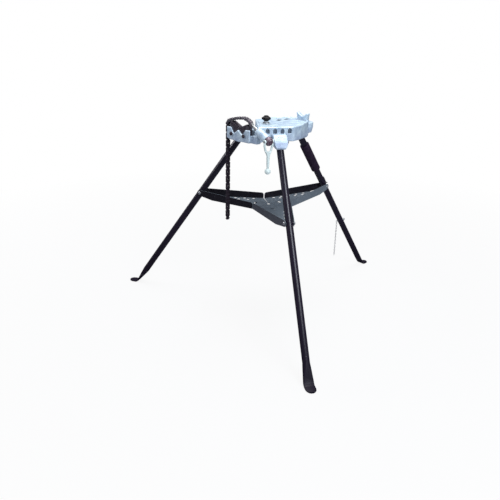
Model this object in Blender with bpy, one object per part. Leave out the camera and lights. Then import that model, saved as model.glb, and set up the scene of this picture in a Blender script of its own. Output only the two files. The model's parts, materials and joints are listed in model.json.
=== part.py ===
"""Tripod pipe vise: a chain vise and a pipe rest on one casting, three folding tube legs and a folding tool tray.

Sizes are metres and +Z is up. The work is laid out round the tripod's own axis: the rear leg points along +X,
the other two legs stand 120 degrees either side of it, and a pipe lies along X.
"""

import math

import bpy
import bmesh
from mathutils import Matrix, Vector

# Running and seating gaps
SEAT_GAP = 0.0003
RUNNING_GAP = 0.0005
CUT_OVERRUN = 0.004

# Legs
TUBE_DIAMETER = 0.0286
TUBE_WALL = 0.002
HINGE_HEIGHT = 0.770
FRONT_HINGE_RADIUS = 0.1277
REAR_HINGE_RADIUS = 0.1629
FRONT_SPLAY = math.radians(34.95)
REAR_SPLAY = math.radians(35.83)
LEG_TOP_OVERHANG = 0.012
FOOT_WIDTH = 0.041
FOOT_THICKNESS = 0.006
TOE_LENGTH = 0.044
FOOT_BEND_RADIUS = 0.020
CRIMP_LENGTH = 0.070
HINGE_BOLT_DIAMETER = 0.010
HINGE_HEAD_THICKNESS = 0.0062
HINGE_HEAD_DIAMETER = 0.018

# Tool tray
TRAY_BOLT_HEIGHT = 0.498
TRAY_FLOOR_DROP = 0.024
TRAY_SHEET = 0.002
TRAY_FLANGE_HEIGHT = 0.027
TRAY_EAR_RADIUS = 0.013
TRAY_FLOOR_SHORTFALL = 0.066
TRAY_END_HALF_WIDTH = 0.0200
TRAY_NOTCH_REACH = 0.050
TRAY_NOTCH_HALF_GAP = 0.003
TRAY_LEAF_GAP = 0.0012
TRAY_TIP_OVERSHOOT = 0.028
TRAY_SHOULDER_REACH = 0.020
TRAY_SHOULDER_HALF_WIDTH = 0.036
TRAY_RIVET_DIAMETER = 0.008
TRAY_RIVET_HEAD = 0.014
TRAY_RIVET_HEAD_THICKNESS = 0.004
TRAY_HINGE_REACH = 0.062
TRAY_HINGE_DROP = 0.008
TRAY_HINGE_PIN_DIAMETER = 0.005
TRAY_HINGE_BARREL_DIAMETER = 0.010
TRAY_HINGE_BARREL_WIDTH = 0.026
TRAY_HINGE_TAB_WIDTH = 0.006
TRAY_HINGE_PLATE = 0.004
TRAY_HOLE_DIAMETER = 0.010
TRAY_HOLE_PITCH = 0.040
TRAY_HOLE_INSET = 0.012
TRAY_WINDOW_LENGTH = 0.022
TRAY_WINDOW_WIDTH = 0.013

# Base casting
DECK_TOP = 0.825
DECK_REACH = 0.186
DECK_RIM_HEIGHT = 0.003
DECK_RIM_WIDTH = 0.007
DECK_THICKNESS = 0.009
SKIRT_BOTTOM = 0.770
SKIRT_WALL = 0.007
CAST_EDGE = 0.0015
SOCKET_HALF_WIDTH = 0.0285
SOCKET_DEPTH = 0.038
SOCKET_WALL = 0.007
SOCKET_ROOF = 0.0205
SOCKET_SHOULDER = 0.030
ARCH_WIDTH = 0.015
ARCH_HEIGHT = 0.0195
ARCH_SILL = 0.8015
ARCH_PITCH = 0.030
DECK_SLOT_LENGTH = 0.028
DECK_SLOT_WIDTH = 0.011
PIPE_LINE_Y = -0.027

# Pipe rest and bending eye, on the same casting
REST_X = 0.157
REST_HALF_WIDTH = 0.033
REST_THICKNESS = 0.016
REST_VALLEY = 0.842
REST_TIP = 0.857
EYE_X = 0.203
EYE_Y = -0.006
EYE_DIAMETER = 0.060
EYE_BORE = 0.038
EYE_TOP = 0.813
EYE_BOTTOM = 0.768
EYE_FOOT_DIAMETER = 0.048

# Chain vise
CHAIN_X = -0.190
VISE_POCKET_WIDTH = 0.025
CHEEK_THICKNESS = 0.007
CHEEK_HALF_LENGTH = 0.066
CHEEK_BOTTOM = 0.779
CHEEK_LOBE_Z = 0.807
CHEEK_PEAK_Z = 0.822
CHEEK_END_Z = 0.827
CHEEK_LOBE_OFFSET = 0.029
CHEEK_SHOULDER_OFFSET = 0.043
POCKET_FLOOR = 0.794
JAW_HALF_LENGTH = 0.055
JAW_TIP_OFFSET = 0.047
JAW_TIP_Z = 0.849
JAW_VALLEY_Z = 0.829
JAW_END_Z = 0.833
JAW_FRONT_RELIEF = 0.006
JAW_TEETH_A_SIDE = 8
JAW_TOOTH_DEPTH = 0.0024
JAW_BOLT_DIAMETER = 0.008
JAW_BOLT_OFFSET = 0.036
JAW_BOLT_Z = 0.802
JAW_BOLT_HEAD = 0.014
JAW_BOLT_HEAD_THICKNESS = 0.005
ANCHOR_Y = -0.087
ANCHOR_Z = 0.845
SCREW_SLOPE = math.radians(26.4)
SCREW_DIAMETER = 0.013
SCREW_EYE_DIAMETER = 0.0146
SCREW_EYE_WIDTH = 0.0098
BOSS_DIAMETER = 0.034
ARM_REACH = 0.150
BOSS_START = 0.040
BOSS_END = 0.0945
HUB_DIAMETER = 0.032
HUB_LENGTH = 0.018
HUB_PIN_DIAMETER = 0.007
FORK_PRONG_WIDTH = 0.008
FORK_PRONG_THICKNESS = 0.006
FORK_CONVERGE = 0.055
HANDLE_LENGTH = 0.125
HANDLE_STEM_DIAMETER = 0.010
HANDLE_BALL_DIAMETER = 0.024

# Chain
LINK_PITCH = 0.0147
LINK_HEIGHT = 0.0135
LINK_PLATE = 0.0022
LINK_MIDDLE_WIDTH = 0.0104
LINK_PIN_DIAMETER = 0.0065
LINK_PIN_PROUD = 0.0016
ARC_PITCHES = 11
HANGING_SEGMENTS = 3
SEGMENT_PITCHES = 9
ARC_CROWN_Z = 0.8735
CHAIN_DROP_Y = 0.053
CHAIN_PATH_SHARES = (
    (0, 0),
    (0.05, 0.40),
    (0.13, 0.74),
    (0.23, 0.94),
    (0.34, 1.0),
    (0.55, 0.84),
    (0.78, 0.48),
    (0.93, 0.16),
    (1.0, -0.28),
)

# Brace screw on the deck
BRACE_X = -0.033
BRACE_SCREW_DIAMETER = 0.014
BRACE_SCREW_LENGTH = 0.050
BRACE_BOSS_DIAMETER = 0.026
BRACE_BOSS_DEPTH = 0.020
BRACE_COLLAR_DIAMETER = 0.030
BRACE_COLLAR_THICKNESS = 0.005
KNOB_ACROSS = 0.038
KNOB_HEIGHT = 0.022
KNOB_BASE = 0.836

# What the rear leg carries
GRIP_TOP = 0.712
GRIP_BOTTOM = 0.590
GRIP_DIAMETER = 0.041
GRIP_CHAMFER = 0.003
LOCK_HEIGHT = 0.532
LOCK_LENGTH = 0.044
LOCK_WIDTH = 0.014
LOCK_THICKNESS = 0.003
LOCK_TIP_RISE = 0.009
LOCK_RIVET_DIAMETER = 0.006
EYE_BOLT_HEIGHT = 0.294
EYE_BOLT_DIAMETER = 0.005
EYE_BOLT_RING = 0.013
EYE_BOLT_WIRE = 0.0024
SAFETY_CHAIN_LENGTH = 0.187
SAFETY_LINK_PITCH = 0.0085
SAFETY_LINK_WIRE = 0.0016
SAFETY_LINK_WIDTH = 0.0066

# Leg name, hinge radius, splay and bearing of the rear, left and front legs
LEGS = {
    "front": (FRONT_HINGE_RADIUS, FRONT_SPLAY, math.radians(-120)),
    "left": (FRONT_HINGE_RADIUS, FRONT_SPLAY, math.radians(120)),
    "rear": (REAR_HINGE_RADIUS, REAR_SPLAY, 0.0),
}

TUBE_RADIUS = TUBE_DIAMETER / 2
FLOOR_HEIGHT = TRAY_BOLT_HEIGHT - TRAY_FLOOR_DROP
SHARP_ANGLE = math.radians(35)
KNOB_SIDES = 8
WIRE_CORNERS = [math.tau * (corner + 0.5) / 4 for corner in range(4)]

# Colour (linear), metallic and roughness of each finish
FINISHES = {
    "cast_silver": ((0.52, 0.64, 0.76), 0.55, 0.42),
    "black_tube": ((0.030, 0.020, 0.045), 0.30, 0.22),
    "tray_slate": ((0.075, 0.095, 0.115), 0.45, 0.42),
    "dark_steel": ((0.050, 0.036, 0.055), 0.75, 0.45),
    "oiled_chain": ((0.040, 0.026, 0.042), 0.80, 0.40),
    "bright_zinc": ((0.70, 0.72, 0.74), 0.95, 0.28),
    "pale_handle": ((0.60, 0.72, 0.70), 0.70, 0.34),
    "hub_brown": ((0.110, 0.060, 0.085), 0.55, 0.40),
    "grip_black": ((0.022, 0.012, 0.030), 0.00, 0.45),
    "knob_black": ((0.010, 0.009, 0.011), 0.00, 0.40),
}


def finish(name):
    """The Principled material of this name, made once."""
    made = bpy.data.materials.get(name)
    if made:
        return made
    made = bpy.data.materials.new(name)
    made.use_nodes = True
    colour, metallic, roughness = FINISHES[name]
    shader = made.node_tree.nodes["Principled BSDF"]
    shader.inputs["Base Color"].default_value = (*colour, 1.0)
    shader.inputs["Metallic"].default_value = metallic
    shader.inputs["Roughness"].default_value = roughness
    made.diffuse_color = (*colour, 1.0)
    return made


def clear_scene():
    for old in list(bpy.data.objects):
        bpy.data.objects.remove(old, do_unlink=True)


def empty(name, parent=None, location=(0, 0, 0), turn=0.0):
    made = bpy.data.objects.new(name, None)
    bpy.context.scene.collection.objects.link(made)
    made.parent = parent
    made.location = location
    made.rotation_euler = (0, 0, turn)
    return made


def piece(name, shape, finish_name, parent, location=(0, 0, 0), rotation=(0, 0, 0)):
    """A finished sub-part from a bmesh or a mesh, shaded smooth with its hard edges kept."""
    if isinstance(shape, bmesh.types.BMesh):
        mesh = bpy.data.meshes.new(name)
        shape.to_mesh(mesh)
        shape.free()
    else:
        mesh = shape
        mesh.name = name
    mesh.materials.clear()
    mesh.materials.append(finish(finish_name))
    mesh.shade_smooth()
    mesh.set_sharp_from_angle(angle=SHARP_ANGLE)
    made = bpy.data.objects.new(name, mesh)
    bpy.context.scene.collection.objects.link(made)
    made.parent = parent
    made.location = location
    made.rotation_euler = rotation
    return made


def prism(outline, low, high, frame=None):
    """An outline in the frame's XY plane, extruded along the frame's Z from low to high."""
    frame = frame or Matrix.Identity(4)
    made = bmesh.new()
    bottom = [made.verts.new(frame @ Vector((u, v, low))) for u, v in outline]
    top = [made.verts.new(frame @ Vector((u, v, high))) for u, v in outline]
    made.faces.new(bottom)
    made.faces.new(top)
    for here, after in zip(range(len(outline)), [*range(1, len(outline)), 0]):
        made.faces.new((bottom[here], bottom[after], top[after], top[here]))
    bmesh.ops.recalc_face_normals(made, faces=made.faces)
    return made


def skin(rings, loop=False, frame=None):
    """A closed skin over rings of points. A ring of one point is an apex, and a loop of rings needs no caps."""
    frame = frame or Matrix.Identity(4)
    made = bmesh.new()
    rows = [[made.verts.new(frame @ Vector(point)) for point in ring] for ring in rings]
    pairs = list(zip(rows, rows[1:]))
    if loop:
        pairs.append((rows[-1], rows[0]))
    for first, second in pairs:
        count = max(len(first), len(second))
        for here in range(count):
            after = (here + 1) % count
            corners = [first[here % len(first)], first[after % len(first)]]
            corners += [second[after % len(second)], second[here % len(second)]]
            made.faces.new(list(dict.fromkeys(corners)))
    if not loop:
        for end in (rows[0], rows[-1]):
            if len(end) > 2:
                made.faces.new(end)
    bmesh.ops.recalc_face_normals(made, faces=made.faces)
    return made


def circle(radius, height=0.0, sides=24, phase=0.0):
    """Points round Z at this height, or the one point on the axis where the radius is zero."""
    if radius == 0:
        return [(0.0, 0.0, height)]
    turns = [math.tau * (step + phase) / sides for step in range(sides)]
    return [(radius * math.cos(turn), radius * math.sin(turn), height) for turn in turns]


def turned(profile, sides=24, frame=None, loop=False, phase=0.0):
    """A solid of revolution round the frame's Z, from (radius, height) pairs."""
    return skin([circle(radius, height, sides, phase) for radius, height in profile], loop, frame)


def rod(diameter, start, end, frame=None, sides=24, chamfer=0.0):
    radius = diameter / 2
    profile = [(radius, start), (radius, end)]
    if chamfer:
        profile = [(radius - chamfer, start), (radius, start + chamfer)]
        profile += [(radius, end - chamfer), (radius - chamfer, end)]
    return turned(profile, sides, frame)


def bevelled(shape, width, segments=1, angle=math.radians(30)):
    """The same solid with its edges sharper than the angle taken off."""
    edges = [edge for edge in shape.edges if edge.calc_face_angle(0.0) > angle]
    bmesh.ops.bevel(shape, geom=edges, offset=width, segments=segments, affect="EDGES", profile=0.5)
    return shape


def merged(shapes):
    """Separate solids that don't touch, held in one bmesh."""
    made = bmesh.new()
    for shape in shapes:
        part = bpy.data.meshes.new("part")
        shape.to_mesh(part)
        made.from_mesh(part)
        shape.free()
        bpy.data.meshes.remove(part)
    return made


def carve(body, joined=(), cut=()):
    """The body with each joined solid added and each cut solid taken away, as a mesh."""
    helpers = []
    for step, (shape, operation) in enumerate(
        [(body, None)] + [(s, "UNION") for s in joined] + [(s, "DIFFERENCE") for s in cut]
    ):
        mesh = bpy.data.meshes.new(f"helper_{step}")
        shape.to_mesh(mesh)
        shape.free()
        helper = bpy.data.objects.new(f"helper_{step}", mesh)
        bpy.context.scene.collection.objects.link(helper)
        helper.hide_render = True
        helper.display_type = "WIRE"
        helpers.append(helper)
        if operation:
            modifier = helpers[0].modifiers.new(operation, "BOOLEAN")
            modifier.solver = "EXACT"
            modifier.operation = operation
            modifier.object = helper
    bpy.context.view_layer.update()
    graph = bpy.context.evaluated_depsgraph_get()
    finished = bpy.data.meshes.new_from_object(helpers[0].evaluated_get(graph))
    for helper in helpers:
        mesh = helper.data
        bpy.data.objects.remove(helper, do_unlink=True)
        bpy.data.meshes.remove(mesh)
    return finished


def axes_frame(along, across=(0, 0, 1), origin=(0, 0, 0)):
    """A frame whose Z runs along the first direction and whose X is nearest to the second."""
    z = Vector(along).normalized()
    x = (Vector(across) - z * z.dot(Vector(across))).normalized()
    y = z.cross(x)
    frame = Matrix((x, y, z)).transposed().to_4x4()
    frame.translation = Vector(origin)
    return frame


def bearing(radius, height, turn):
    return (radius * math.cos(turn), radius * math.sin(turn), height)


def obround(length, width, steps=6):
    """A slot outline with round ends, centred on zero along its first axis."""
    radius = width / 2
    reach = length / 2 - radius
    points = []
    for side in (1, -1):
        for step in range(steps + 1):
            turn = math.pi * step / steps - math.pi / 2
            points.append((side * (reach + radius * math.cos(turn)), side * radius * math.sin(turn)))
    return points


# Frames for outlines drawn from the side: along the local XZ plane, and along the local YZ plane
ALONG_Y = axes_frame((0, -1, 0), (1, 0, 0))
ALONG_X = axes_frame((1, 0, 0), (0, 1, 0))


def hexagon(across_flats):
    return [point[:2] for point in circle(across_flats / 2 / math.cos(math.pi / 6), 0.0, 6)]


def leg_point(distance, splay):
    """A point this far down the leg from its hinge, in the leg's own frame."""
    return Vector((distance * math.sin(splay), 0.0, -distance * math.cos(splay)))


def oval_ring(centre, direction, half_width, half_depth, power, flat, sides=20):
    """A ring square to the path, between a circle and a flat strap. Flat cuts its broad faces level."""
    normal = Vector((-direction.z, 0.0, direction.x))
    ring = []
    for step in range(sides):
        turn = math.tau * (step + 0.5) / sides
        across = math.copysign(abs(math.cos(turn)) ** (2 / power), math.cos(turn)) * half_width
        share = math.copysign(abs(math.sin(turn)) ** (2 / power), math.sin(turn)) * (1 + flat)
        ring.append(centre + Vector((0.0, across, 0.0)) + normal * half_depth * max(-1, min(1, share)))
    return ring


CRIMP_SHARES = (0.0, 0.35, 0.7, 0.9, 1.0)
CRIMP_POWER = 3.4
CRIMP_FLAT_SHARE = 0.25
TOE_ROUND_DEGREES = (0, 30, 55, 75)
BEND_STEPS = 4


def leg_skin(splay):
    """A tube that is crimped flat at its foot, bent level there, and open at the top."""
    down = leg_point(1, splay)
    toe_z = FOOT_THICKNESS / 2 - HINGE_HEIGHT
    reach = -toe_z / math.cos(splay)
    turn = math.pi / 2 - splay
    tangent = FOOT_BEND_RADIUS * math.tan(turn / 2)
    crimp_start = reach - tangent - CRIMP_LENGTH
    stations = [(-LEG_TOP_OVERHANG, 0.0)]
    stations += [(crimp_start + CRIMP_LENGTH * share, share) for share in CRIMP_SHARES]
    rings = []
    for distance, share in stations:
        half_width = TUBE_RADIUS + (FOOT_WIDTH / 2 - TUBE_RADIUS) * share
        half_depth = TUBE_RADIUS + (FOOT_THICKNESS / 2 - TUBE_RADIUS) * share
        power = 2 + (CRIMP_POWER - 2) * share
        flat = CRIMP_FLAT_SHARE * share
        rings.append(oval_ring(down * distance, down, half_width, half_depth, power, flat))
    strap = (FOOT_THICKNESS / 2, CRIMP_POWER, CRIMP_FLAT_SHARE)
    corner = down * (reach - tangent)
    centre = corner + Vector((math.cos(splay), 0, math.sin(splay))) * FOOT_BEND_RADIUS
    for step in range(1, BEND_STEPS + 1):
        heading = -turn * (1 - step / BEND_STEPS)
        direction = Vector((math.cos(heading), 0, math.sin(heading)))
        point = centre + Vector((direction.z, 0, -direction.x)) * FOOT_BEND_RADIUS
        rings.append(oval_ring(point, direction, FOOT_WIDTH / 2, *strap))
    toe_end = reach * math.sin(splay) + TOE_LENGTH
    for degrees in TOE_ROUND_DEGREES:
        share = math.radians(degrees)
        x = toe_end - FOOT_WIDTH / 2 * (1 - math.sin(share))
        centre = Vector((x, 0, toe_z))
        rings.append(oval_ring(centre, Vector((1, 0, 0)), FOOT_WIDTH / 2 * math.cos(share), *strap))
    bore = TUBE_RADIUS - TUBE_WALL
    inside = [oval_ring(down * d, down, bore, bore, 2, 0.0) for d in (crimp_start, -LEG_TOP_OVERHANG)]
    return skin(inside + rings)


def tray_bolt_distance(splay):
    return (HINGE_HEIGHT - TRAY_BOLT_HEIGHT) / math.cos(splay)


def cross_hole(centre, diameter):
    """A hole across the leg, along its local Y."""
    reach = TUBE_RADIUS + CUT_OVERRUN
    frame = axes_frame((0, 1, 0), (1, 0, 0), centre)
    return rod(diameter, -reach, reach, frame, 16)


def make_leg(name, hinge_empty, hinge_radius, splay):
    down = leg_point(1, splay)
    cuts = [
        cross_hole((0, 0, 0), HINGE_BOLT_DIAMETER + 2 * SEAT_GAP),
        cross_hole(down * tray_bolt_distance(splay), TRAY_RIVET_DIAMETER + 2 * SEAT_GAP),
    ]
    if name == "rear":
        reach = TUBE_RADIUS / math.cos(splay) + CUT_OVERRUN * 2
        centre = down * ((HINGE_HEIGHT - EYE_BOLT_HEIGHT) / math.cos(splay))
        frame = axes_frame((1, 0, 0), (0, 0, 1), centre)
        cuts.append(rod(EYE_BOLT_DIAMETER + 2 * SEAT_GAP, -reach, reach, frame, 12))
        outward = Vector((math.cos(splay), 0, math.sin(splay)))
        centre = down * ((HINGE_HEIGHT - LOCK_HEIGHT) / math.cos(splay))
        frame = axes_frame(outward, down, centre)
        cuts.append(rod(LOCK_RIVET_DIAMETER + 2 * SEAT_GAP, 0, reach, frame, 12))
    piece(f"{name}_leg", carve(leg_skin(splay), cut=cuts), "black_tube", hinge_empty)
    half = TRAY_END_HALF_WIDTH - TRAY_SHEET - TRAY_RIVET_DIAMETER * 0.16
    frame = axes_frame((0, 1, 0), (1, 0, 0))
    pin = rod(TRAY_RIVET_DIAMETER, -half, half, frame, 16)
    piece(f"{name}_tray_pin", pin, "dark_steel", hinge_empty, down * tray_bolt_distance(splay))


def make_hinge_bolt(name, parent, location, turn):
    """A hexagon bolt through the socket's cheeks and the leg, and its nut."""
    turned_to = (0, 0, turn)
    cheek = SOCKET_HALF_WIDTH + SEAT_GAP
    thread_end = cheek + HINGE_HEAD_THICKNESS + HINGE_BOLT_DIAMETER / 3
    across_y = axes_frame((0, 1, 0), (1, 0, 0))
    hexes = hexagon(HINGE_HEAD_DIAMETER)
    head = prism(hexes, -cheek - HINGE_HEAD_THICKNESS, -cheek, across_y)
    shank = rod(HINGE_BOLT_DIAMETER, -cheek - HINGE_HEAD_THICKNESS / 2, thread_end, across_y, 16, TUBE_WALL / 2)
    piece(f"{name}_leg_bolt", carve(head, joined=[shank]), "dark_steel", parent, location, turned_to)
    nut = prism(hexes, cheek, cheek + HINGE_HEAD_THICKNESS, across_y)
    bore = rod(HINGE_BOLT_DIAMETER + 2 * SEAT_GAP, cheek - CUT_OVERRUN, thread_end + CUT_OVERRUN, across_y, 16)
    piece(f"{name}_leg_nut", carve(nut, cut=[bore]), "dark_steel", parent, location, turned_to)


def flange_line(bolt_reach):
    """How far out, and how wide, the leaf's edge starts at the notch and ends past the leg, and its slope."""
    notch_half_width = TRAY_NOTCH_REACH * math.sqrt(3) - TRAY_NOTCH_HALF_GAP
    slope = (notch_half_width - TRAY_END_HALF_WIDTH) / (bolt_reach - TRAY_NOTCH_REACH)
    return notch_half_width, slope


def leaf_flange(side, bolt_reach):
    """One upturned edge of a leaf: round at the notch, taller at the leg, where it forms the ear."""
    notch_half_width, slope = flange_line(bolt_reach)
    run = math.hypot(1, slope)
    start = Vector((TRAY_NOTCH_REACH, side * notch_half_width, 0))
    along = Vector((1, -side * slope, 0)) / run
    frame = Matrix((along, Vector((0, 0, 1)), along.cross(Vector((0, 0, 1))))).transposed().to_4x4()
    frame.translation = start
    ear = (bolt_reach - TRAY_NOTCH_REACH) * run
    round_radius = TRAY_FLANGE_HEIGHT / 3
    outline = [(0, 0)]
    for step in range(5):
        turn = math.pi - math.pi / 2 * step / 4
        outline.append(
            (
                round_radius + round_radius * math.cos(turn),
                TRAY_FLANGE_HEIGHT - round_radius + round_radius * math.sin(turn),
            )
        )
    for step in range(9):
        turn = math.pi / 2 - math.pi * step / 8
        outline.append(
            (ear + TRAY_EAR_RADIUS * math.cos(turn), TRAY_FLOOR_DROP + TRAY_EAR_RADIUS * math.sin(turn))
        )
    outline.append((ear - TRAY_FLOOR_SHORTFALL, 0))
    inward = side * frame.col[2].y
    thick = (-TRAY_SHEET, 0) if inward > 0 else (0, TRAY_SHEET)
    return prism(outline, *thick, frame), frame, ear


def leaf_floor(name, bolt_reach):
    """The floor's outline: wide at the notches, with the front leaf's pointed tip over the middle."""
    notch_half_width, slope = flange_line(bolt_reach)
    outer = bolt_reach - TRAY_FLOOR_SHORTFALL
    outer_half_width = notch_half_width - slope * (outer - TRAY_NOTCH_REACH) - TRAY_SHEET / 2
    edge = notch_half_width - TRAY_SHEET / 2
    tip = Vector((-TRAY_TIP_OVERSHOOT, 0))
    if name == "front":
        middle = [(TRAY_SHOULDER_REACH, -TRAY_SHOULDER_HALF_WIDTH), tuple(tip)]
        middle.append((TRAY_SHOULDER_REACH, TRAY_SHOULDER_HALF_WIDTH))
    else:
        # The front leaf's tip and shoulder, seen from this leaf, with the gap kept to them
        side = 1 if name == "left" else -1
        swing = Matrix.Rotation(side * math.radians(120), 2)
        shoulder = swing @ Vector((TRAY_SHOULDER_REACH, -side * TRAY_SHOULDER_HALF_WIDTH))
        point = swing @ tip
        gap = Vector((TRAY_LEAF_GAP, 0))
        middle = [tuple(point + gap), tuple(shoulder + gap)]
        if side < 0:
            middle.reverse()
    outline = [(outer, -outer_half_width), (TRAY_NOTCH_REACH, -edge)]
    outline += middle
    outline += [(TRAY_NOTCH_REACH, edge), (outer, outer_half_width)]
    return outline


def leaf_holes(bolt_reach):
    """Two rows of small round holes that follow the flanges, and the window over the hinge."""
    notch_half_width, slope = flange_line(bolt_reach)
    low, high = -CUT_OVERRUN, TRAY_SHEET + CUT_OVERRUN
    holes = []
    first = TRAY_NOTCH_REACH + TRAY_HOLE_PITCH
    count = int((bolt_reach - TRAY_FLOOR_SHORTFALL - TRAY_HOLE_INSET - first) / TRAY_HOLE_PITCH) + 1
    for row in range(2):
        for step in range(count - row):
            reach = first + TRAY_HOLE_PITCH * (step + row / 2)
            width = notch_half_width - slope * (reach - TRAY_NOTCH_REACH) - TRAY_HOLE_INSET * (1 + 1.4 * row)
            for side in (1, -1):
                frame = Matrix.Translation((reach, side * width, 0))
                holes.append(rod(TRAY_HOLE_DIAMETER, low, high, frame, 10))
    frame = Matrix.Translation((TRAY_HINGE_REACH, 0, 0)) @ Matrix.Rotation(math.pi / 2, 4, "Z")
    holes.append(prism(obround(TRAY_WINDOW_LENGTH, TRAY_WINDOW_WIDTH, 4), low, high, frame))
    return holes


def leaf_tabs():
    """Two knuckles under the floor, either side of the tray hinge's barrel."""
    tabs = []
    radius = TRAY_HINGE_BARREL_DIAMETER / 2
    outline = [(-radius, TRAY_HINGE_DROP + TRAY_SHEET / 2)]
    outline += [(radius * math.cos(t), radius * math.sin(t)) for t in [math.pi * (1 + s / 8) for s in range(9)]]
    outline.append((radius, TRAY_HINGE_DROP + TRAY_SHEET / 2))
    start = TRAY_HINGE_BARREL_WIDTH / 2 + RUNNING_GAP
    for side in (1, -1):
        near, far = sorted((side * start, side * (start + TRAY_HINGE_TAB_WIDTH)))
        frame = ALONG_Y.copy()
        frame.translation = Vector((TRAY_HINGE_REACH, 0, -TRAY_HINGE_DROP))
        tabs.append(prism(outline, -far, -near, frame))
    return tabs


def make_leaf(name, bolt_reach, hinge_empty):
    """A tray leaf, drawn from the tripod's axis with its floor's underside at zero, then set on its hinge."""
    to_hinge = Matrix.Translation((-TRAY_HINGE_REACH, 0, TRAY_HINGE_DROP))
    floor = prism(leaf_floor(name, bolt_reach), 0, TRAY_SHEET)
    joined = leaf_tabs()
    ear_holes = []
    frames = []
    for side in (1, -1):
        flange, frame, ear = leaf_flange(side, bolt_reach)
        joined.append(flange)
        frame = frame @ Matrix.Translation((ear, TRAY_FLOOR_DROP, 0))
        frames.append(frame)
        hole = TRAY_RIVET_DIAMETER + 2 * SEAT_GAP
        ear_holes.append(rod(hole, -CUT_OVERRUN, CUT_OVERRUN, frame, 16))
    pin_frame = axes_frame((0, 1, 0), (1, 0, 0), (TRAY_HINGE_REACH, 0, -TRAY_HINGE_DROP))
    reach = TRAY_HINGE_BARREL_WIDTH / 2 + TRAY_HINGE_TAB_WIDTH + CUT_OVERRUN
    pin_hole = rod(TRAY_HINGE_PIN_DIAMETER + 2 * SEAT_GAP, -reach, reach, pin_frame, 12)
    cuts = [merged(leaf_holes(bolt_reach)), merged(ear_holes), pin_hole]
    if name == "front":
        spot = Matrix.Translation((-TRAY_TIP_OVERSHOOT / 3, 0, 0))
        cuts.append(rod(TRAY_HOLE_DIAMETER, -CUT_OVERRUN, CUT_OVERRUN, spot, 10))
    mesh = carve(floor, joined, cuts)
    mesh.transform(to_hinge)
    piece(f"{name}_leaf", mesh, "tray_slate", hinge_empty)
    for side, frame in zip(("a", "b"), frames):
        make_ear_rivet(f"{name}_ear_rivet_{side}", to_hinge @ frame, hinge_empty)


def make_ear_rivet(name, frame, parent):
    """A rivet set in a leaf's ear, with its domed head outside, level with the ear's inner face."""
    outward = 1 if frame.col[2].y * frame.translation.y > 0 else -1
    inner = -outward * TRAY_SHEET
    shank = TRAY_RIVET_DIAMETER / 2
    head = TRAY_RIVET_HEAD / 2
    seat = outward * SEAT_GAP
    dome = outward * TRAY_RIVET_HEAD_THICKNESS
    profile = [(shank, inner), (shank, seat), (head, seat), (head, seat + dome / 2)]
    profile += [(head * 0.6, seat + dome)]
    piece(name, turned(profile, 12, frame), "bright_zinc", parent)


def make_tray_hinge(tray_empty):
    """A three-armed hinge under the middle of the tray, with a barrel for each leaf."""
    half = TRAY_HINGE_BARREL_WIDTH / 2
    plate = TRAY_HINGE_PLATE / 2
    arms = []
    holes = []
    for name in LEGS:
        turn = Matrix.Rotation(LEGS[name][2], 4, "Z")
        outline = [(0, -half), (TRAY_HINGE_REACH, -half), (TRAY_HINGE_REACH, half), (0, half)]
        arms.append(prism(outline, -plate, plate, turn))
        frame = turn @ axes_frame((0, 1, 0), (1, 0, 0), (TRAY_HINGE_REACH, 0, 0))
        arms.append(rod(TRAY_HINGE_BARREL_DIAMETER, -half - RUNNING_GAP / 4, half + RUNNING_GAP / 4, frame, 16))
        holes.append(rod(TRAY_HINGE_PIN_DIAMETER + 2 * SEAT_GAP, -half * 2, half * 2, frame, 12))
    hub = rod(TRAY_HINGE_BARREL_WIDTH * 1.3, -plate * 1.02, plate * 1.02, None, 24)
    mesh = carve(hub, arms, [merged(holes)])
    piece("tray_hinge", mesh, "dark_steel", tray_empty)


def make_tray(root):
    """The leaves hang on the middle hinge, which rises as the legs fold."""
    height = FLOOR_HEIGHT - TRAY_HINGE_DROP
    tray_empty = empty("tray_centre", root, (0, 0, height))
    make_tray_hinge(tray_empty)
    half = TRAY_HINGE_BARREL_WIDTH / 2 + TRAY_HINGE_TAB_WIDTH + RUNNING_GAP
    for name, (hinge_radius, splay, turn) in LEGS.items():
        bolt_reach = hinge_radius + tray_bolt_distance(splay) * math.sin(splay)
        spot = bearing(TRAY_HINGE_REACH, 0, turn)
        hinge_empty = empty(f"{name}_leaf_hinge", tray_empty, spot, turn)
        make_leaf(name, bolt_reach, hinge_empty)
        frame = axes_frame((0, 1, 0), (1, 0, 0))
        pin = rod(TRAY_HINGE_PIN_DIAMETER, -half, half, frame, 12, TRAY_HINGE_PIN_DIAMETER / 10)
        piece(f"{name}_hinge_pin", pin, "dark_steel", tray_empty, spot, (0, 0, turn))


# The deck's corners round the tripod's axis, starting with the face square to the front leg
DECK_SHARES = (
    (-0.6989, -0.3065),
    (-0.2151, -0.5914),
    (-0.0108, -0.7043),
    (0.2688, -0.6452),
    (0.8065, -0.3548),
    (0.9570, -0.2151),
    (1.0000, 0.1613),
    (0.9462, 0.3763),
    (0.6452, 0.5538),
    (0.2043, 0.5538),
    (-0.0108, 0.5323),
)
# The corners of the web between the deck and the vise, round the tripod's axis
ARM_SHARES = (
    (-1.0000, -0.7000),
    (-0.7333, -0.4333),
    (-0.3333, 0.1667),
    (-0.3133, 0.4000),
    (-1.0000, 0.3267),
)


def deck_outline():
    """The deck's corners, with the pipe rest's end rounded off."""
    return [(DECK_REACH * x, DECK_REACH * y) for x, y in DECK_SHARES]


def inset(outline, width):
    """The outline moved in by this width, corner by corner."""
    moved = []
    count = len(outline)
    for here in range(count):
        before, point, after = (Vector(outline[(here + step) % count]) for step in (-1, 0, 1))
        first = (point - before).normalized()
        second = (after - point).normalized()
        normals = [Vector((-side.y, side.x)) for side in (first, second)]
        middle = (normals[0] + normals[1]).normalized()
        moved.append(tuple(point + middle * width / middle.dot(normals[0])))
    return moved


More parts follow.
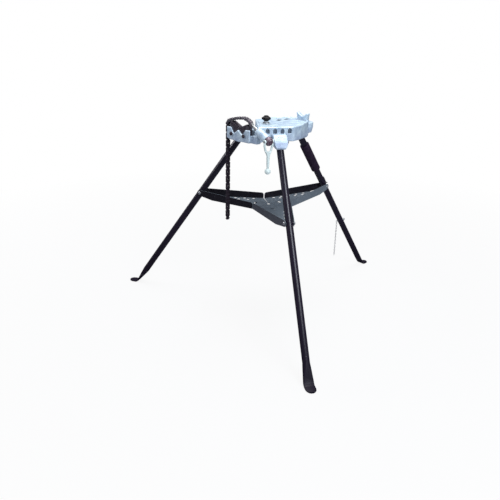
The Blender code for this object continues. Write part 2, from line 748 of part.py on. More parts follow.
def socket_block(name):
    """A leg's socket from the side: shoulder, outer wall along the leg, mouth, and the cheeks' inner edge."""
    splay = LEGS[name][1]
    down = leg_point(1, splay)
    out = Vector((math.cos(splay), 0, math.sin(splay)))
    mouth = down * SOCKET_DEPTH
    wall = out * (TUBE_RADIUS + RUNNING_GAP + SOCKET_WALL)
    outer = mouth + wall
    inner = mouth - out * TUBE_RADIUS
    inner_end = -TUBE_DIAMETER * 2.4
    top = DECK_TOP - DECK_THICKNESS / 2 - HINGE_HEIGHT if name == "rear" else SOCKET_SHOULDER
    points = [(inner_end, top), (TUBE_RADIUS * 0.6, top), (TUBE_DIAMETER * 1.15, SOCKET_SHOULDER * 0.3)]
    points += [(outer.x, outer.z), (inner.x, inner.z), (-TUBE_RADIUS, -TUBE_DIAMETER)]
    points += [(-TUBE_DIAMETER * 1.5, -TUBE_RADIUS * 0.3), (inner_end, -TUBE_RADIUS * 0.1)]
    return points


def socket_hollow(splay):
    """The room in which a leg swings from splayed to straight down."""
    wall = (TUBE_RADIUS + RUNNING_GAP) / math.cos(splay)
    swing = math.hypot(TUBE_RADIUS, LEG_TOP_OVERHANG) + 2 * RUNNING_GAP
    meet = (swing - wall) / math.tan(splay)
    low = SOCKET_DEPTH + TUBE_DIAMETER
    inward = TUBE_DIAMETER * 1.7
    return [
        (-inward, SOCKET_ROOF),
        (swing, SOCKET_ROOF),
        (swing, -meet),
        (wall + low * math.tan(splay), -low),
        (-inward, -low),
    ]


def leg_frame(name):
    hinge_radius, splay, turn = LEGS[name]
    return Matrix.Translation(bearing(hinge_radius, HINGE_HEIGHT, turn)) @ Matrix.Rotation(turn, 4, "Z")


def cheek_outline():
    """A vise cheek from the side: two hollows that show the jaw, and a peak between them."""
    ends = [(CHEEK_HALF_LENGTH, CHEEK_BOTTOM + CHEEK_THICKNESS / 2), (CHEEK_HALF_LENGTH, CHEEK_END_Z)]
    ends += [(CHEEK_SHOULDER_OFFSET, CHEEK_END_Z), (CHEEK_LOBE_OFFSET, CHEEK_LOBE_Z)]
    ends += [(CHEEK_LOBE_OFFSET * 0.7, CHEEK_LOBE_Z)]
    left = [(PIPE_LINE_Y + offset, z) for offset, z in ends]
    right = [(PIPE_LINE_Y - offset, z) for offset, z in reversed(ends)]
    base = [(PIPE_LINE_Y, CHEEK_BOTTOM - CHEEK_THICKNESS / 2)]
    return left + [(PIPE_LINE_Y, CHEEK_PEAK_Z)] + right + base


def screw_frame():
    """Z runs down the tension screw from the eye that holds the chain."""
    along = (0, -math.cos(SCREW_SLOPE), -math.sin(SCREW_SLOPE))
    return axes_frame(along, (1, 0, 0), (CHAIN_X, ANCHOR_Y, ANCHOR_Z))


def casting_additions():
    """What the deck's shell is joined to: sockets, vise, arm, pipe rest and bending eye."""
    added = []
    for name in LEGS:
        block = prism(socket_block(name), -SOCKET_HALF_WIDTH, SOCKET_HALF_WIDTH, leg_frame(name) @ ALONG_Y)
        added.append(bevelled(block, CAST_EDGE * 2))
    outer = CHAIN_X - VISE_POCKET_WIDTH / 2 - CHEEK_THICKNESS
    inner = CHAIN_X + VISE_POCKET_WIDTH / 2 + CHEEK_THICKNESS
    added.append(bevelled(prism(cheek_outline(), outer, inner, ALONG_X), CAST_EDGE))
    arm = [
        (outer + CHEEK_THICKNESS / 2, PIPE_LINE_Y + CHEEK_HALF_LENGTH * 0.88),
        (outer + CHEEK_THICKNESS / 2, ANCHOR_Y),
    ]
    arm += [(ARM_REACH * x, ARM_REACH * y) for x, y in ARM_SHARES]
    arm_top = (CHEEK_LOBE_Z + CHEEK_BOTTOM) / 2 + CHEEK_THICKNESS
    added.append(bevelled(prism(arm, CHEEK_BOTTOM - CHEEK_THICKNESS / 4, arm_top), CAST_EDGE))
    added.append(rod(BOSS_DIAMETER, BOSS_START, BOSS_END, screw_frame(), 24, CAST_EDGE))
    web_start = PIPE_LINE_Y - CHEEK_HALF_LENGTH
    boss_x = BOSS_DIAMETER * 0.3
    web = [(CHAIN_X - boss_x, web_start + BOSS_DIAMETER), (CHAIN_X - boss_x, ANCHOR_Y - BOSS_START)]
    web += [(CHAIN_X + boss_x, ANCHOR_Y - BOSS_START), (CHAIN_X + boss_x, web_start + BOSS_DIAMETER)]
    added.append(prism(web, CHEEK_BOTTOM, ANCHOR_Z - BOSS_DIAMETER))
    half = REST_THICKNESS / 2
    added.append(bevelled(prism(rest_outline(), REST_X - half, REST_X + half, ALONG_X), CAST_EDGE))
    added.append(turned(eye_profile(), 32, Matrix.Translation((EYE_X, EYE_Y, 0))))
    low = DECK_TOP - DECK_THICKNESS - BRACE_BOSS_DEPTH
    added.append(rod(BRACE_BOSS_DIAMETER, low, DECK_TOP - DECK_THICKNESS / 2, Matrix.Translation((BRACE_X, 0, 0))))
    return added


def rest_outline():
    """The pipe rest from the end: two horns, the V between them, and sides that sweep down to the deck."""
    horn = REST_HALF_WIDTH
    base = DECK_TOP - DECK_THICKNESS / 2
    neck = (base + REST_VALLEY) / 2
    half = [(horn * 1.15, base), (horn * 0.86, neck), (horn * 0.9, REST_VALLEY), (horn, REST_TIP)]
    half.append((horn * 0.82, REST_TIP + CAST_EDGE))
    right = [(PIPE_LINE_Y + y, z) for y, z in half]
    left = [(PIPE_LINE_Y - y, z) for y, z in reversed(half)]
    return right + [(PIPE_LINE_Y, REST_VALLEY)] + left


def eye_profile():
    radius = EYE_DIAMETER / 2
    foot = EYE_FOOT_DIAMETER / 2
    waist = (EYE_TOP + EYE_BOTTOM) / 2
    return [(foot, EYE_BOTTOM), (radius, waist), (radius, EYE_TOP - CAST_EDGE), (radius - CAST_EDGE, EYE_TOP)]


def arch_outline():
    """A round-headed tool slot, from its sill up."""
    radius = ARCH_WIDTH / 2
    rise = ARCH_HEIGHT - radius
    points = [(-radius, 0), (radius, 0)]
    return points + [(radius * math.cos(t), rise + radius * math.sin(t)) for t in [math.pi * s / 6 for s in range(7)]]


ARCH_POSITIONS = (-2, -1, 0, 1, 2)
SLOT_SPOTS_SHARE = ((-0.48, -0.58, -30), (0.62, 0.30, 25), (0.98, 0.30, 5))


def casting_cuts():
    """The sockets' hollows, the vise's pocket, the bores and the tool slots."""
    cuts = []
    room = TUBE_RADIUS + RUNNING_GAP
    for name in LEGS:
        cuts.append(prism(socket_hollow(LEGS[name][1]), -room, room, leg_frame(name) @ ALONG_Y))
        reach = SOCKET_HALF_WIDTH + CUT_OVERRUN
        frame = leg_frame(name) @ axes_frame((0, 1, 0), (1, 0, 0))
        cuts.append(rod(HINGE_BOLT_DIAMETER + 2 * SEAT_GAP, -reach, reach, frame, 16))
        if name == "rear":
            # Room for the bolt's head and nut, where the skirt comes close to them
            near = SOCKET_HALF_WIDTH + SEAT_GAP / 2
            far = SOCKET_HALF_WIDTH + HINGE_HEAD_THICKNESS * 2
            room_diameter = HINGE_HEAD_DIAMETER * 1.35
            heads = [rod(room_diameter, *ends, frame, 12) for ends in ((near, far), (-far, -near))]
            cuts.append(merged(heads))
    pocket = [
        (PIPE_LINE_Y + CHEEK_HALF_LENGTH + CUT_OVERRUN, POCKET_FLOOR),
        (PIPE_LINE_Y + CHEEK_HALF_LENGTH + CUT_OVERRUN, ANCHOR_Z),
        (ANCHOR_Y - BOSS_START, ANCHOR_Z),
        (ANCHOR_Y - BOSS_START, POCKET_FLOOR + BOSS_DIAMETER / 2),
        (PIPE_LINE_Y - JAW_HALF_LENGTH - SEAT_GAP, POCKET_FLOOR + BOSS_DIAMETER / 3),
        (PIPE_LINE_Y - JAW_HALF_LENGTH - SEAT_GAP, POCKET_FLOOR),
    ]
    half = VISE_POCKET_WIDTH / 2
    cuts.append(prism(pocket, CHAIN_X - half, CHAIN_X + half, ALONG_X))
    cuts.append(rod(SCREW_DIAMETER + 2 * SEAT_GAP, 0, BOSS_END + CUT_OVERRUN, screw_frame(), 16))
    for side in (1, -1):
        reach = half + CHEEK_THICKNESS + CUT_OVERRUN
        frame = axes_frame((1, 0, 0), (0, 1, 0), (CHAIN_X, PIPE_LINE_Y + side * JAW_BOLT_OFFSET, JAW_BOLT_Z))
        cuts.append(rod(JAW_BOLT_DIAMETER + 2 * SEAT_GAP, -reach, reach, frame, 12))
    frame = Matrix.Translation((EYE_X, EYE_Y, 0))
    cuts.append(rod(EYE_BORE, EYE_BOTTOM - CUT_OVERRUN, EYE_TOP + CUT_OVERRUN, frame, 32))
    frame = Matrix.Translation((BRACE_X, 0, 0))
    low = DECK_TOP - DECK_THICKNESS - BRACE_BOSS_DEPTH
    cuts.append(rod(BRACE_SCREW_DIAMETER + 2 * SEAT_GAP, low - CUT_OVERRUN, DECK_TOP + CUT_OVERRUN, frame, 20))
    cuts.append(merged(tool_slots()))
    return cuts


def tool_slots():
    """Round-headed slots through the front skirt, and long slots through the deck."""
    slots = []
    turn = LEGS["front"][2]
    face = FRONT_HINGE_RADIUS - SKIRT_WALL * 2
    for place in ARCH_POSITIONS:
        frame = Matrix.Rotation(turn, 4, "Z") @ axes_frame((1, 0, 0), (0, 1, 0), (0, 0, ARCH_SILL))
        shifted = [(u + place * ARCH_PITCH - ARCH_WIDTH, v) for u, v in arch_outline()]
        slots.append(prism(shifted, face - SKIRT_WALL, face + SKIRT_WALL * 2, frame))
    for x_share, y_share, degrees in SLOT_SPOTS_SHARE:
        spot = Matrix.Translation((x_share * FRONT_HINGE_RADIUS, y_share * FRONT_HINGE_RADIUS, 0))
        frame = spot @ Matrix.Rotation(math.radians(degrees), 4, "Z")
        low = DECK_TOP - DECK_THICKNESS - CUT_OVERRUN
        slots.append(prism(obround(DECK_SLOT_LENGTH, DECK_SLOT_WIDTH), low, DECK_TOP + CUT_OVERRUN, frame))
    return slots


def make_casting(root):
    """The base: one hollow casting that carries everything."""
    outline = deck_outline()
    body = bevelled(prism(outline, SKIRT_BOTTOM, DECK_TOP + DECK_RIM_HEIGHT), CAST_EDGE * 2, 2)
    hollow = prism(inset(outline, SKIRT_WALL), SKIRT_BOTTOM - CUT_OVERRUN, DECK_TOP - DECK_THICKNESS)
    recess = prism(inset(outline, DECK_RIM_WIDTH), DECK_TOP, DECK_TOP + DECK_RIM_HEIGHT + CUT_OVERRUN)
    shell = bmesh.new()
    shell.from_mesh(carve(body, cut=[hollow, recess]))
    piece("base_casting", carve(shell, casting_additions(), casting_cuts()), "cast_silver", root)


def jaw_outline():
    """The jaw from the end: a wide V whose two sides are cut into teeth."""
    tip = Vector((JAW_TIP_OFFSET, JAW_TIP_Z))
    valley = Vector((0, JAW_VALLEY_Z))
    slope = (tip - valley) / JAW_TEETH_A_SIDE
    normal = Vector((-slope.y, slope.x)).normalized() * JAW_TOOTH_DEPTH
    side = []
    for step in range(JAW_TEETH_A_SIDE):
        start = valley + slope * step
        side += [start - normal, start + slope * 0.85 if step < JAW_TEETH_A_SIDE - 1 else tip]
    floor = POCKET_FLOOR + SEAT_GAP
    right = side + [Vector((JAW_HALF_LENGTH, JAW_END_Z)), Vector((JAW_HALF_LENGTH, floor))]
    relief = JAW_HALF_LENGTH - JAW_FRONT_RELIEF
    left = [Vector((-relief, floor)), Vector((-relief, JAW_END_Z))]
    left += [Vector((-point.x, point.y)) for point in reversed(side) if point.x < relief - JAW_FRONT_RELIEF]
    return [(PIPE_LINE_Y + point.x, point.y) for point in left[:-1] + right]


def make_vise(root):
    """The toothed jaw in its pocket, with the two bolts that hold it."""
    half = VISE_POCKET_WIDTH / 2 - SEAT_GAP
    jaw = prism(jaw_outline(), CHAIN_X - half, CHAIN_X + half, ALONG_X)
    holes = []
    reach = half + CHEEK_THICKNESS + SEAT_GAP
    for side in (1, -1):
        spot = Vector((CHAIN_X, PIPE_LINE_Y + side * JAW_BOLT_OFFSET, JAW_BOLT_Z))
        holes.append(rod(JAW_BOLT_DIAMETER + 2 * SEAT_GAP, -reach, reach, axes_frame((1, 0, 0), (0, 1, 0), spot), 12))
    piece("vise_jaw", carve(jaw, cut=[merged(holes)]), "dark_steel", root)
    face = VISE_POCKET_WIDTH / 2 + CHEEK_THICKNESS + SEAT_GAP
    for side, place in ((1, "back"), (-1, "front")):
        spot = (CHAIN_X, PIPE_LINE_Y + side * JAW_BOLT_OFFSET, JAW_BOLT_Z)
        frame = axes_frame((1, 0, 0), (0, 1, 0))
        head = rod(JAW_BOLT_HEAD, -face - JAW_BOLT_HEAD_THICKNESS, -face, frame, 20, JAW_BOLT_HEAD_THICKNESS / 6)
        shank = rod(JAW_BOLT_DIAMETER, -face - JAW_BOLT_HEAD_THICKNESS / 2, face - SEAT_GAP, frame, 12)
        piece(f"{place}_jaw_bolt", carve(head, [shank]), "dark_steel", root, spot)


def make_tension_screw(root):
    """The screw that pulls the chain tight, the nut that turns on it, and the forked handle on the nut."""
    frame = screw_frame()
    slide = empty("tension_slide", root)
    slide.matrix_local = frame
    eye = SCREW_EYE_DIAMETER / 2
    half = SCREW_EYE_WIDTH / 2
    cross = axes_frame((1, 0, 0), (0, 0, 1))
    head = rod(SCREW_EYE_DIAMETER, -half, half, cross, 20)
    end = BOSS_END + SEAT_GAP + HUB_LENGTH
    shank = rod(SCREW_DIAMETER, eye * 1.5, end, None, 16, SCREW_DIAMETER / 10)
    neck_half = SCREW_EYE_WIDTH / 2 * 0.98
    low, high, side = eye * 0.7, eye * 1.8, eye * 0.6
    neck_outline = [(-side, low), (side, low), (side, high), (-side, high)]
    neck = prism(neck_outline, -neck_half, neck_half, axes_frame((1, 0, 0), (0, 1, 0)))
    hole = rod(LINK_PIN_DIAMETER + 2 * SEAT_GAP, -half - CUT_OVERRUN, half + CUT_OVERRUN, cross, 12)
    piece("tension_screw", carve(head, [neck, shank], [hole]), "bright_zinc", slide)
    hub_start = BOSS_END + SEAT_GAP
    middle = hub_start + HUB_LENGTH / 2
    crank = empty("crank", root)
    crank.matrix_local = frame @ Matrix.Translation((0, 0, middle))
    half = HUB_LENGTH / 2
    hub = rod(HUB_DIAMETER, -half, half, None, 28, HUB_LENGTH / 8)
    reach = HUB_DIAMETER
    bore = rod(SCREW_DIAMETER + 2 * SEAT_GAP, -HUB_LENGTH, HUB_LENGTH, None, 16)
    side = HUB_DIAMETER / 2
    stub_start = SCREW_DIAMETER / 2 + TUBE_WALL
    pin_hole = rod(HUB_PIN_DIAMETER + 2 * SEAT_GAP, stub_start, reach, cross, 12)
    pin_hole_far = rod(HUB_PIN_DIAMETER + 2 * SEAT_GAP, -reach, -stub_start, cross, 12)
    piece("crank_hub", carve(hub, cut=[bore, pin_hole, pin_hole_far]), "hub_brown", crank)
    outer = side + SEAT_GAP * 2 + FORK_PRONG_THICKNESS
    for sign, place in ((1, "inner"), (-1, "outer")):
        near, far = sorted((sign * (stub_start + SEAT_GAP), sign * (outer + SEAT_GAP * 4)))
        pin = rod(HUB_PIN_DIAMETER, near, far, cross, 12)
        piece(f"crank_pin_{place}", pin, "bright_zinc", crank)
    swing = empty("handle_swing", root, crank.matrix_local.translation)
    make_handle(swing, side + SEAT_GAP * 2)


PRONG_SHARES = ((0.0, 1.0), (0.30, 1.0), (0.62, 0.72), (1.0, 0.0))
STEM_SHARES = ((0.30, 1.10), (0.42, 1.0), (0.70, 0.86), (0.86, 0.80))


def make_handle(swing, inside):
    """A forked handle: two prongs on the pin, a tapering stem, and a ball at the end."""
    middle = inside + FORK_PRONG_THICKNESS / 2
    prongs = []
    for sign in (1, -1):
        rings = []
        for drop_share, width_share in PRONG_SHARES:
            x = sign * middle * width_share
            z = -FORK_CONVERGE * drop_share
            half_x = FORK_PRONG_THICKNESS / 2 * (1 + 0.3 * drop_share)
            half_y = FORK_PRONG_WIDTH / 2
            rings.append([(x - half_x, -half_y, z), (x + half_x, -half_y, z), (x + half_x, half_y, z), (x - half_x, half_y, z)])
        prongs.append(bevelled(skin(rings), FORK_PRONG_THICKNESS / 6))
        eye_frame = axes_frame((1, 0, 0), (0, 0, 1), (sign * middle, 0, 0))
        prongs.append(rod(FORK_PRONG_WIDTH * 1.7, -FORK_PRONG_THICKNESS / 2, FORK_PRONG_THICKNESS / 2, eye_frame, 16))
    stem = [(HANDLE_STEM_DIAMETER / 2 * width, -HANDLE_LENGTH * drop) for drop, width in STEM_SHARES]
    ball = HANDLE_BALL_DIAMETER / 2
    centre = -HANDLE_LENGTH + ball
    for step in range(1, 7):
        turn = math.pi * step / 6
        stem.append((ball * math.sin(turn) if step < 6 else 0, centre + ball * math.cos(turn)))
    body = turned(stem, 16)
    hole_frame = axes_frame((1, 0, 0), (0, 0, 1))
    reach = inside + FORK_PRONG_THICKNESS * 2
    hole = rod(HUB_PIN_DIAMETER + 2 * SEAT_GAP, -reach, reach, hole_frame, 12)
    piece("crank_handle", carve(body, prongs, [hole]), "pale_handle", swing)


def link_pin(point, diameter, reach):
    return rod(diameter, -reach, reach, axes_frame((1, 0, 0), (0, 0, 1), (0, point.x, point.y)), 6)


def make_chain_segment(name, points, first_outer, last_pin, parent):
    """One stiff run of link plates and pins, from its own first pin. The run after it owns the last pin."""
    origin = points[0]
    points = [point - origin for point in points]
    plates = {True: [], False: []}
    for step, (here, after) in enumerate(zip(points, points[1:])):
        direction = after - here
        middle = (after + here) / 2
        frame = axes_frame((1, 0, 0), (0, direction.x, direction.y), (0, middle.x, middle.y))
        outer = (step % 2 == 0) == first_outer
        middle_half = LINK_MIDDLE_WIDTH / 2
        outline = obround(direction.length + LINK_HEIGHT, LINK_HEIGHT, 3)
        if not outer:
            plates[outer].append(prism(outline, -middle_half, middle_half, frame))
            continue
        near = middle_half + SEAT_GAP
        for side in (1, -1):
            low, high = sorted((side * near, side * (near + LINK_PLATE)))
            plates[outer].append(prism(outline, low, high, frame))
    reach = LINK_MIDDLE_WIDTH / 2 + SEAT_GAP + LINK_PLATE + LINK_PIN_PROUD
    pins = [link_pin(point, LINK_PIN_DIAMETER, reach) for point in (points if last_pin else points[:-1])]
    clear = (LINK_PIN_DIAMETER + 2 * SEAT_GAP) / math.cos(math.pi / 6)
    cuts = [] if last_pin else [link_pin(points[-1], clear, reach + CUT_OVERRUN)]
    mesh = carve(merged(pins), [merged(plates[True]), merged(plates[False])], cuts)
    piece(name, mesh, "oiled_chain", parent, (CHAIN_X, origin.x, origin.y))


def walk(path, count):
    """Points one link pitch apart along a path of straight runs, and straight down from its end."""
    points = [path[0]]
    path = path + [path[-1] - Vector((0, LINK_PITCH * count))]
    leg = 0
    for _ in range(count):
        here = points[-1]
        while (path[leg + 1] - here).length < LINK_PITCH:
            leg += 1
        start, end = path[leg], path[leg + 1]
        low, high = 0.0, 1.0
        for _ in range(40):
            middle = (low + high) / 2
            if (start.lerp(end, middle) - here).length < LINK_PITCH:
                low = middle
            else:
                high = middle
        points.append(start.lerp(end, high))
    return points


def make_chain(root):
    """The chain: an arc over the jaw on the screw's eye, and three hanging runs."""
    span = CHAIN_DROP_Y - ANCHOR_Y
    rise = ARC_CROWN_Z - ANCHOR_Z
    path = [Vector((ANCHOR_Y + span * along, ANCHOR_Z + rise * up)) for along, up in CHAIN_PATH_SHARES]
    points = walk(path, ARC_PITCHES)
    make_chain_segment("chain_arc", points, True, False, root)
    done = ARC_PITCHES
    for number in range(HANGING_SEGMENTS):
        top = points[-1]
        points = [top - Vector((0, LINK_PITCH * step)) for step in range(SEGMENT_PITCHES + 1)]
        last = number == HANGING_SEGMENTS - 1
        make_chain_segment(f"chain_run_{number + 1}", points, done % 2 == 0, last, root)
        done += SEGMENT_PITCHES


def make_brace_screw(root):
    """The screw on the deck that braces the stand against a ceiling: collar, rod and knob."""
    spot = (BRACE_X, 0, 0)
    bore = BRACE_SCREW_DIAMETER / 2 + SEAT_GAP
    ring = BRACE_COLLAR_DIAMETER / 2
    low = DECK_TOP + SEAT_GAP
    high = low + BRACE_COLLAR_THICKNESS
    chamfer = BRACE_COLLAR_THICKNESS / 5
    profile = [(bore, low), (ring, low), (ring, high - chamfer), (ring - chamfer, high), (bore, high)]
    piece("brace_collar", turned(profile, 28, loop=True), "bright_zinc", root, spot)
    radius = BRACE_SCREW_DIAMETER / 2
    flange = radius * 1.4
    seat = KNOB_BASE - SEAT_GAP
    stud = KNOB_BASE + KNOB_HEIGHT * 0.6
    bottom = KNOB_BASE - BRACE_SCREW_LENGTH
    profile = [(0, bottom), (radius * 0.8, bottom), (radius, bottom + radius * 0.2), (radius, high + SEAT_GAP * 3)]
    profile += [(flange, high + SEAT_GAP * 6), (flange, seat), (radius * 0.6, seat), (radius * 0.6, stud), (0, stud)]
    piece("brace_screw", turned(profile, 20), "bright_zinc", root, spot)
    flat = math.cos(math.pi / KNOB_SIDES)
    half = KNOB_ACROSS / 2 / flat
    waist = half * 0.86
    top = KNOB_HEIGHT
    hole = (radius * 0.6 + SEAT_GAP) / flat
    depth = KNOB_HEIGHT * 0.6 + SEAT_GAP * 3
    profile = [(0, depth), (hole, depth), (hole, 0), (waist, 0), (half, top * 0.14), (half, top * 0.80)]
    profile += [(waist, top), (half * 0.45, top * 1.02), (0, top * 1.02)]
    piece("brace_knob", turned(profile, KNOB_SIDES, phase=0.5), "knob_black", root, (BRACE_X, 0, KNOB_BASE))


def make_rear_leg_extras(hinge_empty):
    """What the rear leg carries: the carrying grip, the lock, and the eye bolt with the safety chain."""
    splay = REAR_SPLAY
    down = leg_point(1, splay)
    outward = Vector((math.cos(splay), 0, math.sin(splay)))
    bore = TUBE_RADIUS + SEAT_GAP
    radius = GRIP_DIAMETER / 2
    start = (HINGE_HEIGHT - GRIP_TOP) / math.cos(splay)
    end = (HINGE_HEIGHT - GRIP_BOTTOM) / math.cos(splay)
    edge = GRIP_CHAMFER
    profile = [(bore, start), (radius - edge, start), (radius, start + edge), (radius, end - edge)]
    profile += [(radius - edge, end), (bore, end)]
    grip = turned(profile, 28, axes_frame(down, (0, 1, 0)), loop=True)
    piece("carry_grip", grip, "grip_black", hinge_empty)
    make_leg_lock(hinge_empty, down, outward)
    make_eye_bolt(hinge_empty, down)


def make_leg_lock(hinge_empty, down, outward):
    """A small hook that swivels on a rivet on the leg's outer side."""
    centre = down * ((HINGE_HEIGHT - LOCK_HEIGHT) / math.cos(REAR_SPLAY))
    frame = axes_frame(outward, down, centre)
    seat = TUBE_RADIUS + SEAT_GAP
    width = LOCK_WIDTH / 2
    hook = LOCK_LENGTH - width
    outline = [(width * math.cos(t), width * math.sin(t)) for t in [math.pi / 2 + math.pi * s / 8 for s in range(9)]]
    outline += [(hook, -width * 0.8), (hook, width * 0.8)]
    plate = prism(outline, 0, LOCK_THICKNESS)
    tip_frame = axes_frame((0, -1, 0), (1, 0, 0))
    tip = [(hook - LOCK_THICKNESS, LOCK_THICKNESS / 2), (hook, 0), (hook + LOCK_TIP_RISE / 2, LOCK_TIP_RISE)]
    tip.append((hook + LOCK_TIP_RISE / 2 - LOCK_THICKNESS, LOCK_TIP_RISE))
    curl = prism(tip, -width * 0.79, width * 0.79, tip_frame)
    hole = rod(LOCK_RIVET_DIAMETER + 2 * SEAT_GAP, -LOCK_THICKNESS, LOCK_THICKNESS * 2, None, 12)
    lock = empty("leg_lock_swivel", hinge_empty)
    lock.matrix_local = frame @ Matrix.Translation((0, 0, seat))
    piece("leg_lock", carve(plate, [curl], [hole]), "dark_steel", lock)
    shank = LOCK_RIVET_DIAMETER / 2
    head = shank * 1.8
    base = seat + LOCK_THICKNESS + SEAT_GAP
    low = TUBE_RADIUS - TUBE_WALL * 1.5
    profile = [(0, low), (shank, low), (shank, base), (head, base), (head, base + shank * 0.4)]
    profile += [(head * 0.6, base + shank * 0.9), (0, base + shank)]
    piece("lock_rivet", turned(profile, 16, frame), "bright_zinc", hinge_empty)


def ring_solid(radius, wire, frame, around=16, section=8):
    """A ring of round wire in the frame's XY plane."""
    rings = []
    for step in range(around):
        turn = math.tau * step / around
        ring = []
        for corner in range(section):
            lean = math.tau * corner / section
            reach = radius + wire * math.cos(lean)
            ring.append((reach * math.cos(turn), reach * math.sin(turn), wire * math.sin(lean)))
        rings.append(ring)
    return skin(rings, loop=True, frame=frame)


def make_eye_bolt(hinge_empty, down):
    """An eye bolt through the leg, its ring nut outside, and the safety chain that hangs from its eye."""
    centre = down * ((HINGE_HEIGHT - EYE_BOLT_HEIGHT) / math.cos(REAR_SPLAY))
    surface = TUBE_RADIUS / math.cos(REAR_SPLAY)
    eye_x = EYE_BOLT_RING * 0.78 + surface
    upright = axes_frame((0, 1, 0), (1, 0, 0), (centre.x - eye_x, 0, centre.z))
    wire = EYE_BOLT_WIRE / 2
    ring = ring_solid(EYE_BOLT_RING / 2 - wire, wire, upright)
    along = axes_frame((1, 0, 0), (0, 1, 0), centre)
    shank = rod(EYE_BOLT_DIAMETER, -eye_x + EYE_BOLT_RING / 2 - wire, surface + EYE_BOLT_RING * 0.45, along, 12)
    piece("eye_bolt", carve(shank, [ring]), "bright_zinc", hinge_empty)
    nut_frame = axes_frame((0, 1, 0), (1, 0, 0), (centre.x + surface + EYE_BOLT_RING * 0.55, 0, centre.z))
    thick = EYE_BOLT_RING * 0.22
    rim = EYE_BOLT_RING * 0.55 - SEAT_GAP
    disc = rod(rim * 2, -thick, thick, nut_frame, 20, thick / 3)
    hole = rod(rim * 0.9, -thick * 2, thick * 2, nut_frame, 16)
    bore = rod(EYE_BOLT_DIAMETER + 2 * SEAT_GAP, 0, surface + EYE_BOLT_RING * 0.5, along, 12)
    cut_leg = rod(TUBE_DIAMETER + 2 * SEAT_GAP, -EYE_BOLT_RING * 3, EYE_BOLT_RING * 3, axes_frame(down, (0, 1, 0), centre), 24)
    piece("eye_nut", carve(disc, cut=[hole, bore, cut_leg]), "bright_zinc", hinge_empty)
    hang = empty("safety_chain_swing", hinge_empty, (centre.x - eye_x, 0, centre.z))
    make_safety_chain(hang)


def make_safety_chain(hang):
    """Small welded links, each turned square to the one above it."""
    wire = SAFETY_LINK_WIRE / 2
    count = int(SAFETY_CHAIN_LENGTH / SAFETY_LINK_PITCH)
    reach = SAFETY_LINK_PITCH / 2 + wire * 0.55
    width = SAFETY_LINK_WIDTH / 2 - wire
    # The first link's upper end sits just above the lower side of the bolt's eye
    top = wire + SEAT_GAP + EYE_BOLT_WIRE - EYE_BOLT_RING / 2
    links = ([], [])
    for number in range(count):
        facing = (0, 1, 0) if number % 2 else (1, 0, 0)
        frame = axes_frame(facing, (0, 0, 1), (0, 0, top - reach - SAFETY_LINK_PITCH * number))
        rings = []
        for step in range(6):
            turn = math.tau * (step + 0.5) / 6
            along = math.copysign(reach - width + width * abs(math.cos(turn)), math.cos(turn))
            spot = Vector((along, width * math.sin(turn), 0))
            out = Vector((math.cos(turn), math.sin(turn), 0))
            leans = [(math.cos(lean), math.sin(lean)) for lean in WIRE_CORNERS]
            rings.append([spot + (out * aside + Vector((0, 0, up))) * wire for aside, up in leans])
        links[number % 2].append(skin(rings, loop=True, frame=frame))
    piece("safety_chain", carve(merged(links[0]), [merged(links[1])]), "bright_zinc", hang)


def set_on_floor(root):
    """Moves the stand so that its feet are at zero and the middle of its plan is on the origin."""
    bpy.context.view_layer.update()
    pieces = [made for made in bpy.data.objects if made.type == "MESH"]
    corners = [made.matrix_world @ vertex.co for made in pieces for vertex in made.data.vertices]
    lows = [min(corner[axis] for corner in corners) for axis in range(3)]
    highs = [max(corner[axis] for corner in corners) for axis in range(3)]
    root.location = (-(lows[0] + highs[0]) / 2, -(lows[1] + highs[1]) / 2, -lows[2])


def main():
    clear_scene()
    root = empty("stand")
    make_casting(root)
    for name, (hinge_radius, splay, turn) in LEGS.items():
        hinge_empty = empty(f"{name}_leg_hinge", root, bearing(hinge_radius, HINGE_HEIGHT, turn), turn)
        make_leg(name, hinge_empty, hinge_radius, splay)
        make_hinge_bolt(name, root, bearing(hinge_radius, HINGE_HEIGHT, turn), turn)
        if name == "rear":
            make_rear_leg_extras(hinge_empty)
    make_tray(root)
    make_vise(root)
    make_tension_screw(root)
    make_chain(root)
    make_brace_screw(root)
    set_on_floor(root)


main()
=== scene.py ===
# %% [markdown]
# # A tripod pipe vise
#
# This notebook dresses a imported model of a folding pipe stand: a silver casting with a chain vise, a
# bending eye and a pipe rest, on three black tube legs that are tied together by a folding tray.
#
# The imported model comes first, because every visible piece has to move with one of its bodies.

# %% Load the frame
import json
import math

import bmesh
import bpy
from mathutils import Matrix, Vector


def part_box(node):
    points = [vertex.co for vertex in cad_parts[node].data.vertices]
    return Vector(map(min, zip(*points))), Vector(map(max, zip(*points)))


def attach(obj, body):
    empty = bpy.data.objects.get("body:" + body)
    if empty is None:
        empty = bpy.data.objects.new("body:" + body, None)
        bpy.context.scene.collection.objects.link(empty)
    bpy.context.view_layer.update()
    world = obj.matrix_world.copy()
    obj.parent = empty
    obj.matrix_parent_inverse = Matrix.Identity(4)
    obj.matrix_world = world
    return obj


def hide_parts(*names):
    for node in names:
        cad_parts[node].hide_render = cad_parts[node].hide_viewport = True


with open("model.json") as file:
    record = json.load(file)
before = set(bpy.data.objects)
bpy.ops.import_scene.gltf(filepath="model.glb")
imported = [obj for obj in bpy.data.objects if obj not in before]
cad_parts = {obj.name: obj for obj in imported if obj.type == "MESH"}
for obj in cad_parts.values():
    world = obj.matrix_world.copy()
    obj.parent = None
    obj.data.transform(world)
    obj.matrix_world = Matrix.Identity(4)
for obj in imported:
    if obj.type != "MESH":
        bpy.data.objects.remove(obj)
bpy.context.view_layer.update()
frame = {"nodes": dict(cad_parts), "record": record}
nodes = frame["nodes"]

# %% [markdown]
# ## The camera
#
# The photograph looks down from a little above the deck, at the corner between the vise and the crank. A
# camera's turn could be one matrix, but three plain angles are easier to read: heading, tip and roll.

